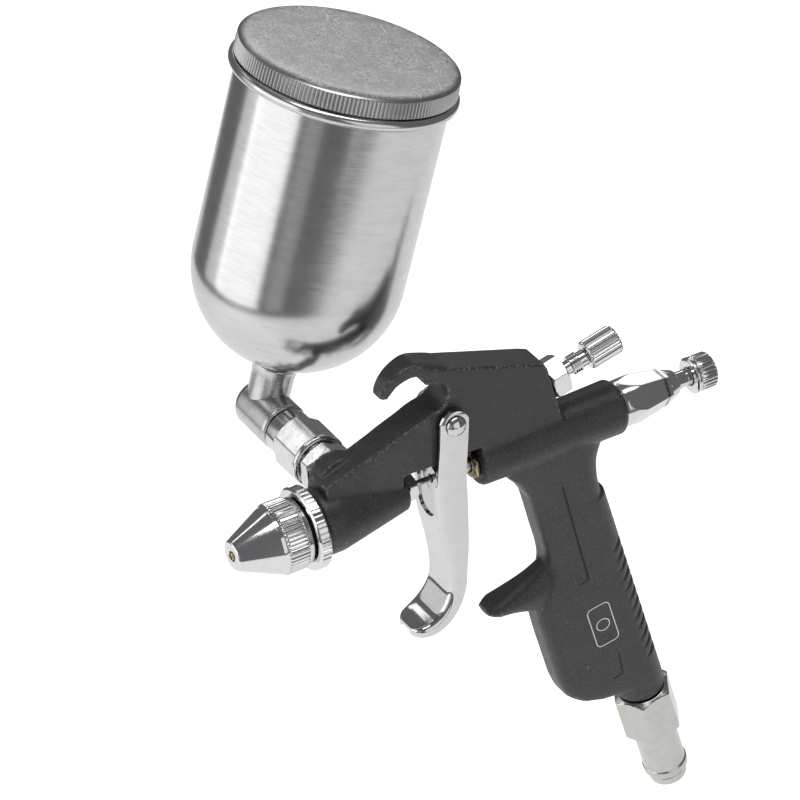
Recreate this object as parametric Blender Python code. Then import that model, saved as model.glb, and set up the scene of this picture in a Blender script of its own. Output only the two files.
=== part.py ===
"""Small air brush gun with a swivelling side cup, built as an assembly of separate pieces.

Gun coordinates are in millimetres: x runs rearward along the needle from the air cap's front face,
y points to the cup side and z points up. The model's own origin is the hanging point in the hook,
so every position is shifted by HANG. Pieces are modelled in millimetres and to_metres() finishes them.
"""
import math

import bmesh
import bpy
from mathutils import Matrix, Quaternion, Vector

METRES = 0.001                        # metres per millimetre
HANG = Vector((57.6, 0.0, 38.0))      # where a rod touches the underside of the hook
GAP = 0.3                             # gap kept between pieces that rest on each other

# needle line
CAP_R = 10.5
RING_R = 12.25
FRONT_X0, FRONT_X1 = 26.0, 54.0       # front barrel
REAR_X0, REAR_X1 = 77.4, 124.3        # rear barrel
CHAMBER_R = 5.6
# trigger
PIVOT = (67.8, 20.6)
TRIGGER_W = 7.5                       # half width over the ears
TRIGGER_T = 1.2
PIN_R = 1.6
# hump, web and hook
HUMP_HALF = 5.0
WEB_HALF = (4.0, 4.95)                # at the front and at the hump
THROAT = (62.7, 30.0, 4.8)            # centre x, centre z, radius
# handle tube and air inlet
HANDLE_TILT = math.radians(14.2)
STUB = (131.4, -104.5)
TUBE_R = 7.6
# air control
CONTROL_TILT = math.radians(13.0)
CONTROL = (101.63, 17.6)
# cup
SWIVEL = (35.4, 9.9)
CUP_Y = 42.7
CUP_TILT = math.radians(18.0)
CUP_R = 30.0
CUP_WALL = 1.0

TOOL_TURN = 0.11                      # turns cutters so that their edges miss the middle plane

X_AXIS = Vector((1, 0, 0))
Y_AXIS = Vector((0, 1, 0))
TUBE_AXIS = Vector((math.sin(HANDLE_TILT), 0, -math.cos(HANDLE_TILT)))
CONTROL_AXIS = Vector((math.cos(CONTROL_TILT), 0, math.sin(CONTROL_TILT)))
CUP_AXIS = Vector((math.sin(CUP_TILT), 0, math.cos(CUP_TILT)))


def clear_scene():
    for ob in list(bpy.data.objects):
        bpy.data.objects.remove(ob, do_unlink=True)


def material(name, colour, metallic, roughness):
    mat = bpy.data.materials.new(name)
    mat.use_nodes = True
    shader = mat.node_tree.nodes["Principled BSDF"]
    shader.inputs["Base Color"].default_value = (*colour, 1.0)
    shader.inputs["Metallic"].default_value = metallic
    shader.inputs["Roughness"].default_value = roughness
    return mat


def place(x, y, z):
    """Model position of a point in gun coordinates."""
    return Vector((x, y, z)) - HANG


def finish_mesh(bm, name, origin, axis, mat):
    bmesh.ops.recalc_face_normals(bm, faces=bm.faces)
    bmesh.ops.triangulate(bm, faces=bm.faces)
    mesh = bpy.data.meshes.new(name)
    bm.to_mesh(mesh)
    bm.free()
    mesh.shade_smooth()
    mesh.set_sharp_from_angle(angle=math.radians(32))
    ob = bpy.data.objects.new(name, mesh)
    bpy.context.collection.objects.link(ob)
    ob.location = place(*origin)
    if axis is not None:
        ob.rotation_mode = "QUATERNION"
        turn = Quaternion((0, 0, 1), 0.0 if mat else TOOL_TURN)
        ob.rotation_quaternion = axis.to_track_quat("Z", "Y") @ turn
    if mat is not None:
        mesh.materials.append(mat)
    return ob


def radius_at(point, index, segments):
    """Radius of one profile point at one step round: plain, flat sided or knurled."""
    r = point[1]
    if len(point) > 2 and point[2] in ("hex", "turned hex"):
        turn = (index * 360.0 / segments + (30.0 if point[2] == "turned hex" else 0.0)) % 60.0 - 30.0
        return r / math.cos(math.radians(30.0 - abs(turn)))
    if len(point) > 2 and index % 2:
        return r - point[2]
    return r


def revolve(name, profile, origin, axis, mat=None, segments=16):
    """Turned piece. The profile holds (distance along the axis, radius) points in order.

    A third value makes that point hexagonal ("hex", radius over flats, or "turned hex" for one turned
    by 30 degrees) or knurled (a depth).
    """
    bm = bmesh.new()
    rings = []
    for point in profile:
        if point[1] < 1e-6:
            rings.append([bm.verts.new((0, 0, point[0]))])
            continue
        ring = []
        for i in range(segments):
            turn = 2 * math.pi * i / segments
            r = radius_at(point, i, segments)
            ring.append(bm.verts.new((r * math.cos(turn), r * math.sin(turn), point[0])))
        rings.append(ring)
    count = len(rings)
    closed_on_axis = profile[0][1] < 1e-6
    for i in range(count - 1 if closed_on_axis else count):
        a, b = rings[i], rings[(i + 1) % count]
        if len(a) == 1 and len(b) == 1:
            continue
        for j in range(segments):
            k = (j + 1) % segments
            if len(a) == 1:
                bm.faces.new((a[0], b[j], b[k]))
            elif len(b) == 1:
                bm.faces.new((a[j], a[k], b[0]))
            else:
                bm.faces.new((a[j], a[k], b[k], b[j]))
    return finish_mesh(bm, name, origin, axis, mat)


def loft(name, loops, origin=(0, 0, 0), mat=None, ring=False, cap=True):
    """Skin through loops of points in gun coordinates relative to the origin."""
    bm = bmesh.new()
    rows = [[bm.verts.new(Vector(p)) for p in loop] for loop in loops]
    count = len(rows[0])
    for i in range(len(rows) if ring else len(rows) - 1):
        a, b = rows[i], rows[(i + 1) % len(rows)]
        for j in range(count):
            k = (j + 1) % count
            bm.faces.new((a[j], a[k], b[k], b[j]))
    if cap and not ring:
        bm.faces.new(rows[0])
        bm.faces.new(rows[-1])
    return finish_mesh(bm, name, origin, None, mat)


def slab(name, outline, half, round_edge=0.0, y=0.0):
    """Plate standing in the x-z plane, with its long edges rounded. half may be a function of x."""
    bm = bmesh.new()
    wide = half if callable(half) else lambda x: half
    low = [bm.verts.new((x, y - wide(x), z)) for x, z in outline]
    high = [bm.verts.new((x, y + wide(x), z)) for x, z in outline]
    caps = [bm.faces.new(low), bm.faces.new(high)]
    count = len(outline)
    for i in range(count):
        j = (i + 1) % count
        bm.faces.new((low[i], low[j], high[j], high[i]))
    if round_edge:
        edges = {e for f in caps for e in f.edges}
        bmesh.ops.bevel(bm, geom=list(edges), offset=round_edge, segments=2, profile=0.5,
                        affect="EDGES", clamp_overlap=True)
    return finish_mesh(bm, name, (0, 0, 0), None, None)


def cylinder(name, start, end, radius, segments=16):
    """Plain rod between two points in gun coordinates."""
    start, end = Vector(start), Vector(end)
    length = (end - start).length
    profile = [(0, 0), (0, radius), (length, radius), (length, 0)]
    return revolve(name, profile, start, (end - start).normalized(), segments=segments)


def combine(target, tool, operation):
    tool.hide_render = True
    tool.display_type = "WIRE"
    mod = target.modifiers.new(tool.name, "BOOLEAN")
    mod.operation = operation
    mod.solver = "EXACT"
    mod.object = tool


def between(table, value):
    """Straight-line reading of a list of (key, result) pairs with falling keys."""
    for (k0, v0), (k1, v1) in zip(table, table[1:]):
        if k0 >= value >= k1:
            return v0 + (v1 - v0) * (k0 - value) / (k0 - k1)
    return table[0][1] if value > table[0][0] else table[-1][1]


def tube_x(z):
    """x of the handle tube's axis at a height."""
    return STUB[0] - (z - STUB[1]) * math.tan(HANDLE_TILT)


def arc(cx, cz, r, a0, a1, steps):
    """Points on an arc in the x-z plane, angles in degrees."""
    out = []
    for i in range(steps + 1):
        a = math.radians(a0 + (a1 - a0) * i / steps)
        out.append((cx + r * math.cos(a), cz + r * math.sin(a)))
    return out


# ---------------------------------------------------------------- gun body

HANDLE_FRONT = [(0.0, 84.0), (-8.0, 86.5), (-12.0, 90.0), (-18.0, 93.4), (-30.0, 96.2), (-43.0, 98.8),
                (-50.0, 97.4), (-56.0, 95.0), (-62.0, 95.2), (-70.0, 96.8), (-80.0, 99.2),
                (-88.0, 101.2), (-94.0, 103.6), (-97.4, 107.5), (-99.2, 113.0)]
HANDLE_REAR = [(0.0, 122.0), (-8.0, 118.6), (-12.0, 116.9), (-18.0, 116.6), (-24.0, 117.4)]


def handle_section(z):
    """Teardrop slice: a round rear on the tube and a flatter, narrower front."""
    front = between(HANDLE_FRONT, z)
    centre = tube_x(z)
    rear = between(HANDLE_REAR, z) if z > -24.0 else centre + TUBE_R / math.cos(HANDLE_TILT)
    points = []
    for i in range(11):
        a = math.radians(-90 + 18 * i)
        points.append((centre + (rear - centre) * math.cos(a), TUBE_R * math.sin(a), z))
    half, corner = 5.6, 3.4
    for side, a0 in ((1, 90), (-1, 180)):
        for i in range(5):
            a = math.radians(a0 + 90 * i / 4)
            points.append((front + corner + corner * math.cos(a),
                           side * (half - corner) + corner * math.sin(a), z))
    return points


SPUR_TOP = [(100.0, -43.0), (94.0, -46.2), (88.0, -48.5), (83.5, -50.0), (80.2, -51.2), (78.6, -52.4)]
SPUR_UNDER = [(100.0, -63.5), (94.0, -59.8), (88.0, -57.4), (83.5, -56.2), (80.2, -55.4), (78.6, -54.2)]


def spur_section(x):
    top, under = between(SPUR_TOP, x), between(SPUR_UNDER, x)
    half = 5.0 if x > 82 else 3.0 + 2.0 * (x - 78.6) / 3.4
    mid, high = (top + under) / 2, (top - under) / 2
    return [(x, half * math.cos(2 * math.pi * i / 16), mid + high * math.sin(2 * math.pi * i / 16))
            for i in range(16)]


# rounded bar of the hook: x, z of its centre line, half width and half height
HOOK_BAR = [(48.9, 33.7, 2.3, 1.3), (49.6, 35.4, 2.6, 1.8), (51.6, 37.9, 3.0, 2.0), (54.6, 39.6, 3.5, 2.1),
            (58.4, 40.2, 4.1, 2.1), (63.0, 38.4, 4.7, 2.2), (66.5, 36.8, 4.8, 2.3)]


def hook_section(i):
    x, z, half, high = HOOK_BAR[i]
    a, b = HOOK_BAR[max(i - 1, 0)], HOOK_BAR[min(i + 1, len(HOOK_BAR) - 1)]
    along = Vector((b[0] - a[0], 0, b[1] - a[1])).normalized()
    up = Vector((-along.z, 0, along.x))
    loop = []
    for j in range(12):
        t = 2 * math.pi * (j + 0.5) / 12
        c, s = math.cos(t), math.sin(t)
        u = math.copysign(abs(c) ** 0.6, c) * half
        v = math.copysign(abs(s) ** 0.6, s) * high
        loop.append(Vector((x, 0, z)) + Y_AXIS * u + up * v)
    return loop


def groove_tool(index):
    """Part of a ring that cuts one finger groove round the rear of the handle tube."""
    z = -33.0 - 5.55 * index
    centre = Vector((tube_x(z), 0, z))
    side = TUBE_AXIS.cross(Y_AXIS).normalized()
    if side.x < 0:
        side = -side
    loops = []
    for i in range(7):
        a = math.radians(-71 + 23.5 * i)
        out = side * math.cos(a) + Y_AXIS * math.sin(a)
        ring = []
        for j in range(4):
            b = 2 * math.pi * j / 4
            ring.append(centre + out * (TUBE_R + 0.35 + 1.25 * math.cos(b)) + TUBE_AXIS * 1.25 * math.sin(b))
        loops.append(ring)
    return loft("groove_%02d" % index, loops)


def build_body(mat):
    cx, cz, r = THROAT
    hump = ([(57.0, 7.6), (60.0, 24.35)] + arc(cx, cz, r, -90, 90, 8)
            + [(60.5, 35.3), (60.8, 39.9), (63.5, 39.6), (96.2, 28.3), (98.8, 27.2), (99.85, 25.3),
               (102.9, 12.1), (106.0, 0.0), (78.0, 0.0), (77.6, 7.6)])
    body = slab("gun_body", hump, HUMP_HALF, 0.7)
    body.data.materials.append(mat)
    web = [(28.2, -2.0), (28.2, 13.2), (58.5, 23.75), (62.0, 24.9), (62.0, 7.9), (52.0, 7.9), (52.0, -2.0)]
    adds = [
        slab("add_web", web, lambda x: WEB_HALF[0] + (WEB_HALF[1] - WEB_HALF[0]) * (x - 28.2) / 33.8, 0.5),
        revolve("add_front", [(FRONT_X0, 0), (FRONT_X0, 9.0), (26.8, 9.8), (31.5, 9.8), (53.4, 5.9),
                              (FRONT_X1, 5.4), (FRONT_X1, 0)], (0, 0, 0), X_AXIS, segments=24),
        revolve("add_spigot", [(15, 0), (15, 7.4), (26.5, 7.4), (26.5, 0)], (0, 0, 0), X_AXIS, segments=24),
        revolve("add_rear", [(REAR_X0, 0), (REAR_X0, 6.7), (78.2, 7.4), (123.5, 8.2), (REAR_X1, 7.6),
                             (REAR_X1, 0)], (0, 0, 0), X_AXIS, segments=24),
        loft("add_handle", [handle_section(z) for z in
                            (0, -8, -12, -18, -24, -30, -43, -50, -56, -62, -70, -80, -88, -94, -97.4, -99.2)]),
        loft("add_spur", [spur_section(x) for x, _ in SPUR_TOP]),
        loft("add_hook", [hook_section(i) for i in range(len(HOOK_BAR))]),
        cylinder("add_boss", (SWIVEL[0], 0.5, SWIVEL[1]), (SWIVEL[0], 6.0, SWIVEL[1]), 7.3, 28),
        revolve("add_stub", [(-30, 0), (-30, TUBE_R - 0.3), (-0.8, TUBE_R - 0.1), (-0.1, TUBE_R - 0.6),
                             (-0.1, 0)], (STUB[0], 0, STUB[1]), TUBE_AXIS, segments=28),
    ]
    for tool in adds:
        combine(body, tool, "UNION")
    stub = Vector((STUB[0], 0, STUB[1]))
    control = Vector((CONTROL[0], 0, CONTROL[1]))
    cuts = [
        revolve("cut_front", [(14, 0), (14, 5.9), (22, 5.9), (22, 4.6), (34, 4.6), (34, 1.5), (50, 1.5),
                              (50, 3.3), (55, 3.3), (55, 0)], (0, 0, 0), X_AXIS, segments=20),
        revolve("cut_rear", [(76, 0), (76, 4.2), (84, 4.2), (84, 3.4), (88, 3.4), (88, CHAMBER_R),
                             (125.5, CHAMBER_R), (125.5, 0)], (0, 0, 0), X_AXIS, segments=20),
        revolve("cut_control", [(-20.5, 0), (-20.5, 2.2), (-7.6, 2.2), (-7.6, 3.9), (2, 3.9), (2, 0)],
                control, CONTROL_AXIS, segments=20),
        cylinder("cut_riser", (85.7, 0, 0.5), (85.7, 0, 13.6), 1.3, 12),
        cylinder("cut_air", (21.0, -1.8, 4.75), (83.0, -1.8, 13.2), 1.1, 12),
        cylinder("cut_fluid", (SWIVEL[0], 2.6, SWIVEL[1] + 1.0), (SWIVEL[0], 0, 0), 1.3, 12),
        cylinder("cut_spot_face", (SWIVEL[0], 6.05, SWIVEL[1]), (SWIVEL[0], 14.0, SWIVEL[1]), 8.7, 24),
        cylinder("cut_boss", (SWIVEL[0], 1.2, SWIVEL[1]), (SWIVEL[0], 8.0, SWIVEL[1]), 4.9, 24),
        revolve("cut_channel", [(-103.7, 0), (-103.7, 3.0), (-12.6, 3.0), (-12.6, 5.5), (3.1, 5.5), (3.1, 0)],
                stub, TUBE_AXIS, segments=18),
        cylinder("cut_pin", (PIVOT[0], -9, PIVOT[1]), (PIVOT[0], 9, PIVOT[1]), PIN_R + 0.15, 20),
    ]
    cuts += [groove_tool(i) for i in range(10)]
    for tool in cuts:
        combine(body, tool, "DIFFERENCE")
    return body


# ---------------------------------------------------------------- trigger

# front face x, z, direction of the flanges, flange depth, half width
TRIGGER_ROWS = [
    (66.6, 25.05, 0, 2.4, 7.5), (64.9, 24.0, 0, 5.8, 7.5), (63.6, 22.2, 0, 8.4, 7.5), (63.3, 20.6, 0, 9.0, 7.5),
    (62.9, 14.0, 0, 8.9, 7.5), (61.9, 4.0, 0, 9.0, 7.5), (61.8, -4.0, 0, 9.1, 7.5), (61.9, -12.0, 0, 9.0, 7.4),
    (62.3, -22.0, 0, 8.5, 7.1), (62.2, -31.4, 3, 8.0, 6.9), (61.4, -37.6, 14, 7.6, 6.9), (59.9, -41.4, 32, 7.0, 7.0),
    (57.8, -43.9, 52, 6.2, 7.1), (55.6, -45.3, 70, 5.0, 6.8), (53.9, -46.0, 82, 3.7, 5.8), (53.0, -46.4, 88, 2.7, 4.2),
    (52.6, -46.7, 90, 2.1, 2.8)]


def trigger_section(row):
    """Channel section: a front web and two flanges running back from it."""
    x, z, lean, depth, half = row
    back = Vector((math.cos(math.radians(lean)), 0, -math.sin(math.radians(lean))))
    t, r = TRIGGER_T, 1.6
    outer = [(depth, -half), (r, -half), (0.3 * r, -half + 0.3 * r), (0, -half + r),
             (0, half - r), (0.3 * r, half - 0.3 * r), (r, half), (depth, half)]
    inner = [(depth, half - t), (r + 0.2, half - t), (t + 0.25, half - t - 0.25), (t, half - r - 0.2),
             (t, -half + r + 0.2), (t + 0.25, -half + t + 0.25), (r + 0.2, -half + t), (depth, -half + t)]
    origin = Vector((x - PIVOT[0], 0, z - PIVOT[1]))
    return [origin + back * a + Y_AXIS * b for a, b in outer + inner]


def build_trigger(mat):
    trigger = loft("trigger", [trigger_section(row) for row in TRIGGER_ROWS],
                   origin=(PIVOT[0], 0, PIVOT[1]), mat=mat)
    inside = TRIGGER_W - TRIGGER_T - 0.1
    half = 4.4
    outline = [(inside, 30.0), (-inside, 30.0), (-inside, 1.2), (-half, 0.2)]
    outline += [(-half * math.cos(math.radians(a)), -7.4 - half * math.sin(math.radians(a)))
                for a in range(0, 181, 20)]
    outline += [(half, 0.2), (inside, 1.2)]
    window = loft("cut_window", [[(x, y, z) for y, z in outline] for x in (58.0, 75.0)])
    combine(trigger, window, "DIFFERENCE")
    hole = cylinder("cut_ears", (PIVOT[0], -9, PIVOT[1]), (PIVOT[0], 9, PIVOT[1]), PIN_R + 0.15, 20)
    combine(trigger, hole, "DIFFERENCE")
    return trigger


# ---------------------------------------------------------------- springs, rings and cup

def coil(name, x0, x1, mean, wire, turns, mat, steps=8, sides=4):
    """Round-wire spring along the needle line."""
    count = turns * steps
    pitch = (x1 - x0 - 2 * wire) / turns
    loops = []
    for i in range(count + 1):
        a = 2 * math.pi * i / steps
        out = Vector((0, math.cos(a), math.sin(a)))
        centre = X_AXIS * (x0 + wire + pitch * i / steps) + out * mean
        loops.append([centre + out * wire * math.cos(b) + X_AXIS * wire * math.sin(b)
                      for b in (2 * math.pi * j / sides for j in range(sides))])
    return loft(name, loops, mat=mat)


def cup_dome(radius, bottom, hole, steps=7):
    """Rounded cup bottom from the drain hole up to the straight wall."""
    height = 45.0 - bottom
    start = math.asin(hole / radius)
    out = []
    for i in range(steps + 1):
        a = start + (math.pi / 2 - start) * i / steps
        out.append((bottom + height * (1 - math.cos(a)), radius * math.sin(a)))
    return out


def build_rim_ring(mat, frame):
    """Rolled ring round the cup under the lid, open at one narrow joint."""
    loops = []
    steps = 36
    split = math.radians(0.45)
    for i in range(steps + 1):
        a = split + (2 * math.pi - 2 * split) * i / steps + math.radians(-62)
        out = Vector((math.cos(a), math.sin(a), 0))
        section = [(30.35, 101.3), (31.3, 101.1), (32.1, 101.8), (32.25, 102.7), (32.1, 103.6),
                   (31.3, 104.25), (30.35, 104.1)]
        loops.append([frame @ (out * r + Vector((0, 0, s))) for r, s in section])
    return loft("rim_ring", loops, mat=mat)


def build_cup(steel, alloy, seal):
    origin = (SWIVEL[0], CUP_Y, SWIVEL[1])
    elbow = revolve("cup_elbow", [(25.4, 0), (25.4, 6.2), (26.2, 6.2), (26.2, 5.0), (31.1, 5.0), (31.1, 6.7),
                                  (31.8, 7.16), (47.4, 7.16), (48.7, 6.3), (49.3, 4.6), (49.3, 0)],
                    (SWIVEL[0], 0, SWIVEL[1]), Y_AXIS, steel, 28)
    neck = revolve("add_neck", [(0, 0), (0, 5.9), (11.5, 6.2), (13.6, 6.5), (15.1, 7.0), (15.1, 5.3),
                                (21.3, 5.3), (21.3, 0)], origin, CUP_AXIS, segments=28)
    combine(elbow, neck, "UNION")
    combine(elbow, cylinder("cut_elbow", (SWIVEL[0], 24, SWIVEL[1]), origin, 2.5, 16), "DIFFERENCE")
    combine(elbow, cylinder("cut_neck", Vector(origin) - CUP_AXIS * 1.5, Vector(origin) + CUP_AXIS * 23, 2.5, 16),
            "DIFFERENCE")
    outer = cup_dome(CUP_R, 15.45, 5.65)
    inner = cup_dome(CUP_R - CUP_WALL, 15.45 + CUP_WALL, 5.65)
    wall = outer + [(101.0, CUP_R), (108.0, CUP_R), (108.0, CUP_R - CUP_WALL)] + inner[::-1]
    revolve("cup_shell", wall, origin, CUP_AXIS, alloy, 32)
    revolve("cup_nut", [(17.9, 5.65), (17.9, 6.4), (18.3, 7.2, "hex"), (20.7, 7.2, "hex"), (21.1, 6.6),
                        (21.1, 5.65)], origin, CUP_AXIS, steel, 12)
    revolve("lid_gasket", [(108.3, 27.0), (108.3, 30.0), (109.0, 30.0), (109.0, 27.0)], origin, CUP_AXIS, seal, 24)
    lid = [(111.2, 0), (111.1, 26.0), (110.9, 28.8), (110.45, 30.2), (109.6, 31.3), (108.7, 31.75), (108.0, 31.8),
           (105.2, 31.8), (104.7, 31.5), (104.7, 30.35), (109.3, 30.35), (109.3, 0)]
    revolve("cup_lid", lid, origin, CUP_AXIS, alloy, 32)
    frame = Matrix.Translation(Vector(origin)) @ CUP_AXIS.to_track_quat("Z", "Y").to_matrix().to_4x4()
    build_rim_ring(alloy, frame)
    pivot = bpy.data.objects.new("cup_swivel_axis", None)
    bpy.context.collection.objects.link(pivot)
    pivot.location = place(*origin)
    bpy.context.view_layer.update()
    for name in ("cup_elbow", "cup_shell", "cup_nut", "lid_gasket", "cup_lid", "rim_ring"):
        piece = bpy.data.objects[name]
        keep = piece.matrix_world.copy()
        piece.parent = pivot
        piece.matrix_parent_inverse = pivot.matrix_world.inverted()
        piece.matrix_world = keep


def tidy_mesh(mesh):
    """Close hairline slits left by the cuts and merge flat neighbouring facets."""
    bm = bmesh.new()
    bm.from_mesh(mesh)
    bmesh.ops.remove_doubles(bm, verts=bm.verts, dist=0.003)
    bmesh.ops.dissolve_degenerate(bm, edges=bm.edges, dist=0.003)
    open_edges = [e for e in bm.edges if len(e.link_faces) == 1]
    if open_edges:
        bmesh.ops.holes_fill(bm, edges=open_edges, sides=8)
    bmesh.ops.dissolve_limit(bm, angle_limit=math.radians(0.3), verts=bm.verts, edges=bm.edges)
    bmesh.ops.triangulate(bm, faces=bm.faces)
    bmesh.ops.recalc_face_normals(bm, faces=bm.faces)
    bm.to_mesh(mesh)
    bm.free()


def to_metres():
    """Settle every piece's cuts and joins, then scale the millimetre model to metres."""
    bpy.context.view_layer.update()
    graph = bpy.context.evaluated_depsgraph_get()
    finished = {}
    for ob in bpy.data.objects:
        if ob.type == "MESH" and ob.modifiers:
            finished[ob.name] = bpy.data.meshes.new_from_object(ob.evaluated_get(graph))
            tidy_mesh(finished[ob.name])
    for name, mesh in finished.items():
        ob = bpy.data.objects[name]
        ob.modifiers.clear()
        ob.data = mesh
    for ob in [ob for ob in bpy.data.objects if ob.hide_render]:
        bpy.data.objects.remove(ob, do_unlink=True)
    for ob in bpy.data.objects:
        if ob.type == "MESH":
            ob.data.transform(Matrix.Scale(METRES, 4))
        ob.location *= METRES
        ob.matrix_parent_inverse.translation *= METRES
    bpy.context.view_layer.update()


def main():
    clear_scene()
    paint = material("black_paint", (0.035, 0.036, 0.038), 0.0, 0.5)
    chrome = material("chrome", (0.75, 0.76, 0.77), 1.0, 0.12)
    nickel = material("nickel", (0.7, 0.69, 0.66), 1.0, 0.25)
    brass = material("brass", (0.72, 0.53, 0.26), 1.0, 0.25)
    steel = material("spring_steel", (0.5, 0.5, 0.5), 1.0, 0.3)
    alloy = material("cup_aluminium", (0.78, 0.78, 0.79), 1.0, 0.3)
    seal = material("seal", (0.85, 0.85, 0.82), 0.0, 0.5)
    rubber = material("rubber", (0.03, 0.03, 0.03), 0.0, 0.7)
    zero = (0, 0, 0)

    build_body(paint)

    # nozzle end
    revolve("fluid_nozzle", [(-0.4, 0.8), (-0.4, 1.1), (2.5, 1.5), (12, 4.2), (16, 4.2), (16.4, 4.8, "hex"),
                             (20.5, 4.8, "hex"), (20.9, 4.7), (20.9, 4.3), (33.5, 4.3), (33.5, 1.9), (6, 1.9),
                             (1.2, 0.8)], zero, X_AXIS, brass, 12)
    revolve("nozzle_seal", [(21.1, 4.55), (21.1, 5.6), (21.7, 5.6), (21.7, 4.55)], zero, X_AXIS, seal, 16)
    revolve("air_cap", [(0, 1.55), (0, 4.1), (0.4, 4.5), (11.7, 9.7), (12.5, 9.7), (12.7, 9.95),
                        (13.3, CAP_R, 0.35), (18.8, CAP_R, 0.35), (19.2, 9.8), (20.6, 9.8), (20.6, 7.75),
                        (14.4, 7.75), (12.5, 6.6), (2.0, 2.3), (1.2, 1.55)], zero, X_AXIS, chrome, 30)
    revolve("lock_ring", [(21.2, 7.75), (21.2, 11.7), (21.7, RING_R, 0.5), (24.6, RING_R, 0.5), (25.1, 11.7),
                          (25.1, 7.75)], zero, X_AXIS, chrome, 32)
    revolve("fluid_needle", [(-0.6, 0), (-0.5, 0.15), (3, 0.5), (9, 0.9), (117, 0.9), (117, 0)], zero, X_AXIS,
            steel, 16)
    revolve("needle_packing", [(50.3, 1.15), (50.3, 3.0), (52.2, 3.0), (52.2, 1.15)], zero, X_AXIS, seal, 16)
    revolve("packing_nut", [(52.5, 1.2), (52.5, 2.95), (54.4, 2.95), (54.4, 3.4), (54.8, 3.7, "hex"),
                            (57.2, 3.7, "hex"), (57.6, 3.4), (57.6, 1.2)], zero, X_AXIS, chrome, 12)

    # trigger
    build_trigger(chrome)
    pin_at = (PIVOT[0], 0, PIVOT[1])
    revolve("trigger_pin", [(-9.95, 0), (-9.8, 1.2), (-9.2, 2.3), (-8.4, 3.0), (-7.8, 3.15), (-7.8, PIN_R),
                            (8.0, PIN_R), (8.0, 1.2), (8.8, 1.2), (8.8, PIN_R), (9.3, 1.3), (9.3, 0)],
            pin_at, Y_AXIS, chrome, 16)
    revolve("pin_clip", [(8.15, 1.35), (8.15, 3.0), (8.65, 3.0), (8.65, 1.35)], pin_at, Y_AXIS, steel, 16)

    # air valve on the needle line
    revolve("valve_sleeve", [(63.4, 1.3), (63.4, 4.3), (64.6, 5.6), (66.2, 5.6), (66.2, 2.4), (90.6, 2.4),
                             (90.6, 4.9), (91.8, 4.9), (91.8, 3.3), (93.0, 3.3), (93.0, 2.4), (100, 2.4),
                             (100, 1.3)], zero, X_AXIS, brass, 16)
    revolve("valve_gland", [(75.4, 2.7), (75.4, 3.9), (75.8, 4.3, "hex"), (76.7, 4.3, "hex"), (77.1, 3.9),
                            (80.7, 3.9), (80.7, 2.7)], zero, X_AXIS, brass, 12)
    revolve("gland_packing", [(81.0, 2.7), (81.0, 3.9), (83.6, 3.9), (83.6, 2.7)], zero, X_AXIS, seal, 16)
    revolve("valve_disc", [(88.35, 2.7), (88.35, 4.9), (90.3, 4.9), (90.3, 2.7)], zero, X_AXIS, rubber, 16)
    coil("valve_spring", 92.1, 117.3, 4.35, 0.35, 7, steel)
    revolve("needle_chuck", [(101.7, 1.15), (101.7, 3.3), (108.6, 3.3), (108.9, 3.55), (112.4, 3.55),
                             (112.4, 2.1), (114.4, 2.1), (114.4, 1.15)], zero, X_AXIS, brass, 16)
    coil("needle_spring", 112.7, 133.9, 2.8, 0.3, 7, steel)

    # rear of the needle line
    revolve("spring_housing", [(117.6, 3.9), (117.6, 5.3), (124.6, 5.3), (124.6, 7.0), (125.2, 7.2, "turned hex"),
                               (141.0, 4.7, "turned hex"), (141.6, 4.75), (144.6, 3.7), (144.6, 2.9), (141.5, 2.9),
                               (141.5, 3.9)], zero, X_AXIS, chrome, 24)
    revolve("needle_spindle", [(122, 0), (122, 1.9), (134.2, 1.9), (134.2, 3.5), (136.2, 3.5), (136.2, 2.6),
                               (150.2, 2.6), (150.2, 1.9), (155.0, 1.9), (155.0, 0)], zero, X_AXIS, chrome, 16)
    revolve("needle_knob", [(156.8, 0), (156.8, 4.7), (156.2, 5.35, 0.35), (151.6, 5.35, 0.35), (151.3, 4.8),
                            (151.0, 5.46), (150.1, 5.46), (149.7, 4.6), (149.7, 2.9), (150.5, 2.9),
                            (150.5, 2.2), (155.3, 2.2), (155.3, 0)], zero, X_AXIS, chrome, 24)

    # air control
    at = (CONTROL[0], 0, CONTROL[1])
    revolve("air_control_nut", [(-6.0, 2.3), (-6.0, 3.6), (0.3, 3.6), (0.3, 5.2), (0.9, 5.4, "hex"),
                                (5.2, 5.4, "hex"), (5.8, 4.9), (5.8, 2.3)], at, CONTROL_AXIS, chrome, 24)
    revolve("air_control_stem", [(-17.0, 0), (-16.6, 0.7), (-13.0, 1.9), (9.0, 2.0), (9.0, 3.2), (10.6, 3.2),
                                 (10.6, 2.4), (13.6, 2.4), (13.6, 1.6), (20.0, 1.6), (20.0, 0)],
            at, CONTROL_AXIS, chrome, 16)
    revolve("control_o_ring", [(-7.2, 2.25), (-7.2, 3.5), (-6.3, 3.5), (-6.3, 2.25)], at, CONTROL_AXIS, rubber, 16)
    revolve("air_control_knob", [(24.2, 0), (24.2, 3.7), (23.6, 4.35, 0.35), (14.6, 4.35, 0.35), (13.9, 3.8),
                                 (13.9, 1.9), (20.4, 1.9), (20.4, 0)], at, CONTROL_AXIS, chrome, 24)

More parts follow.
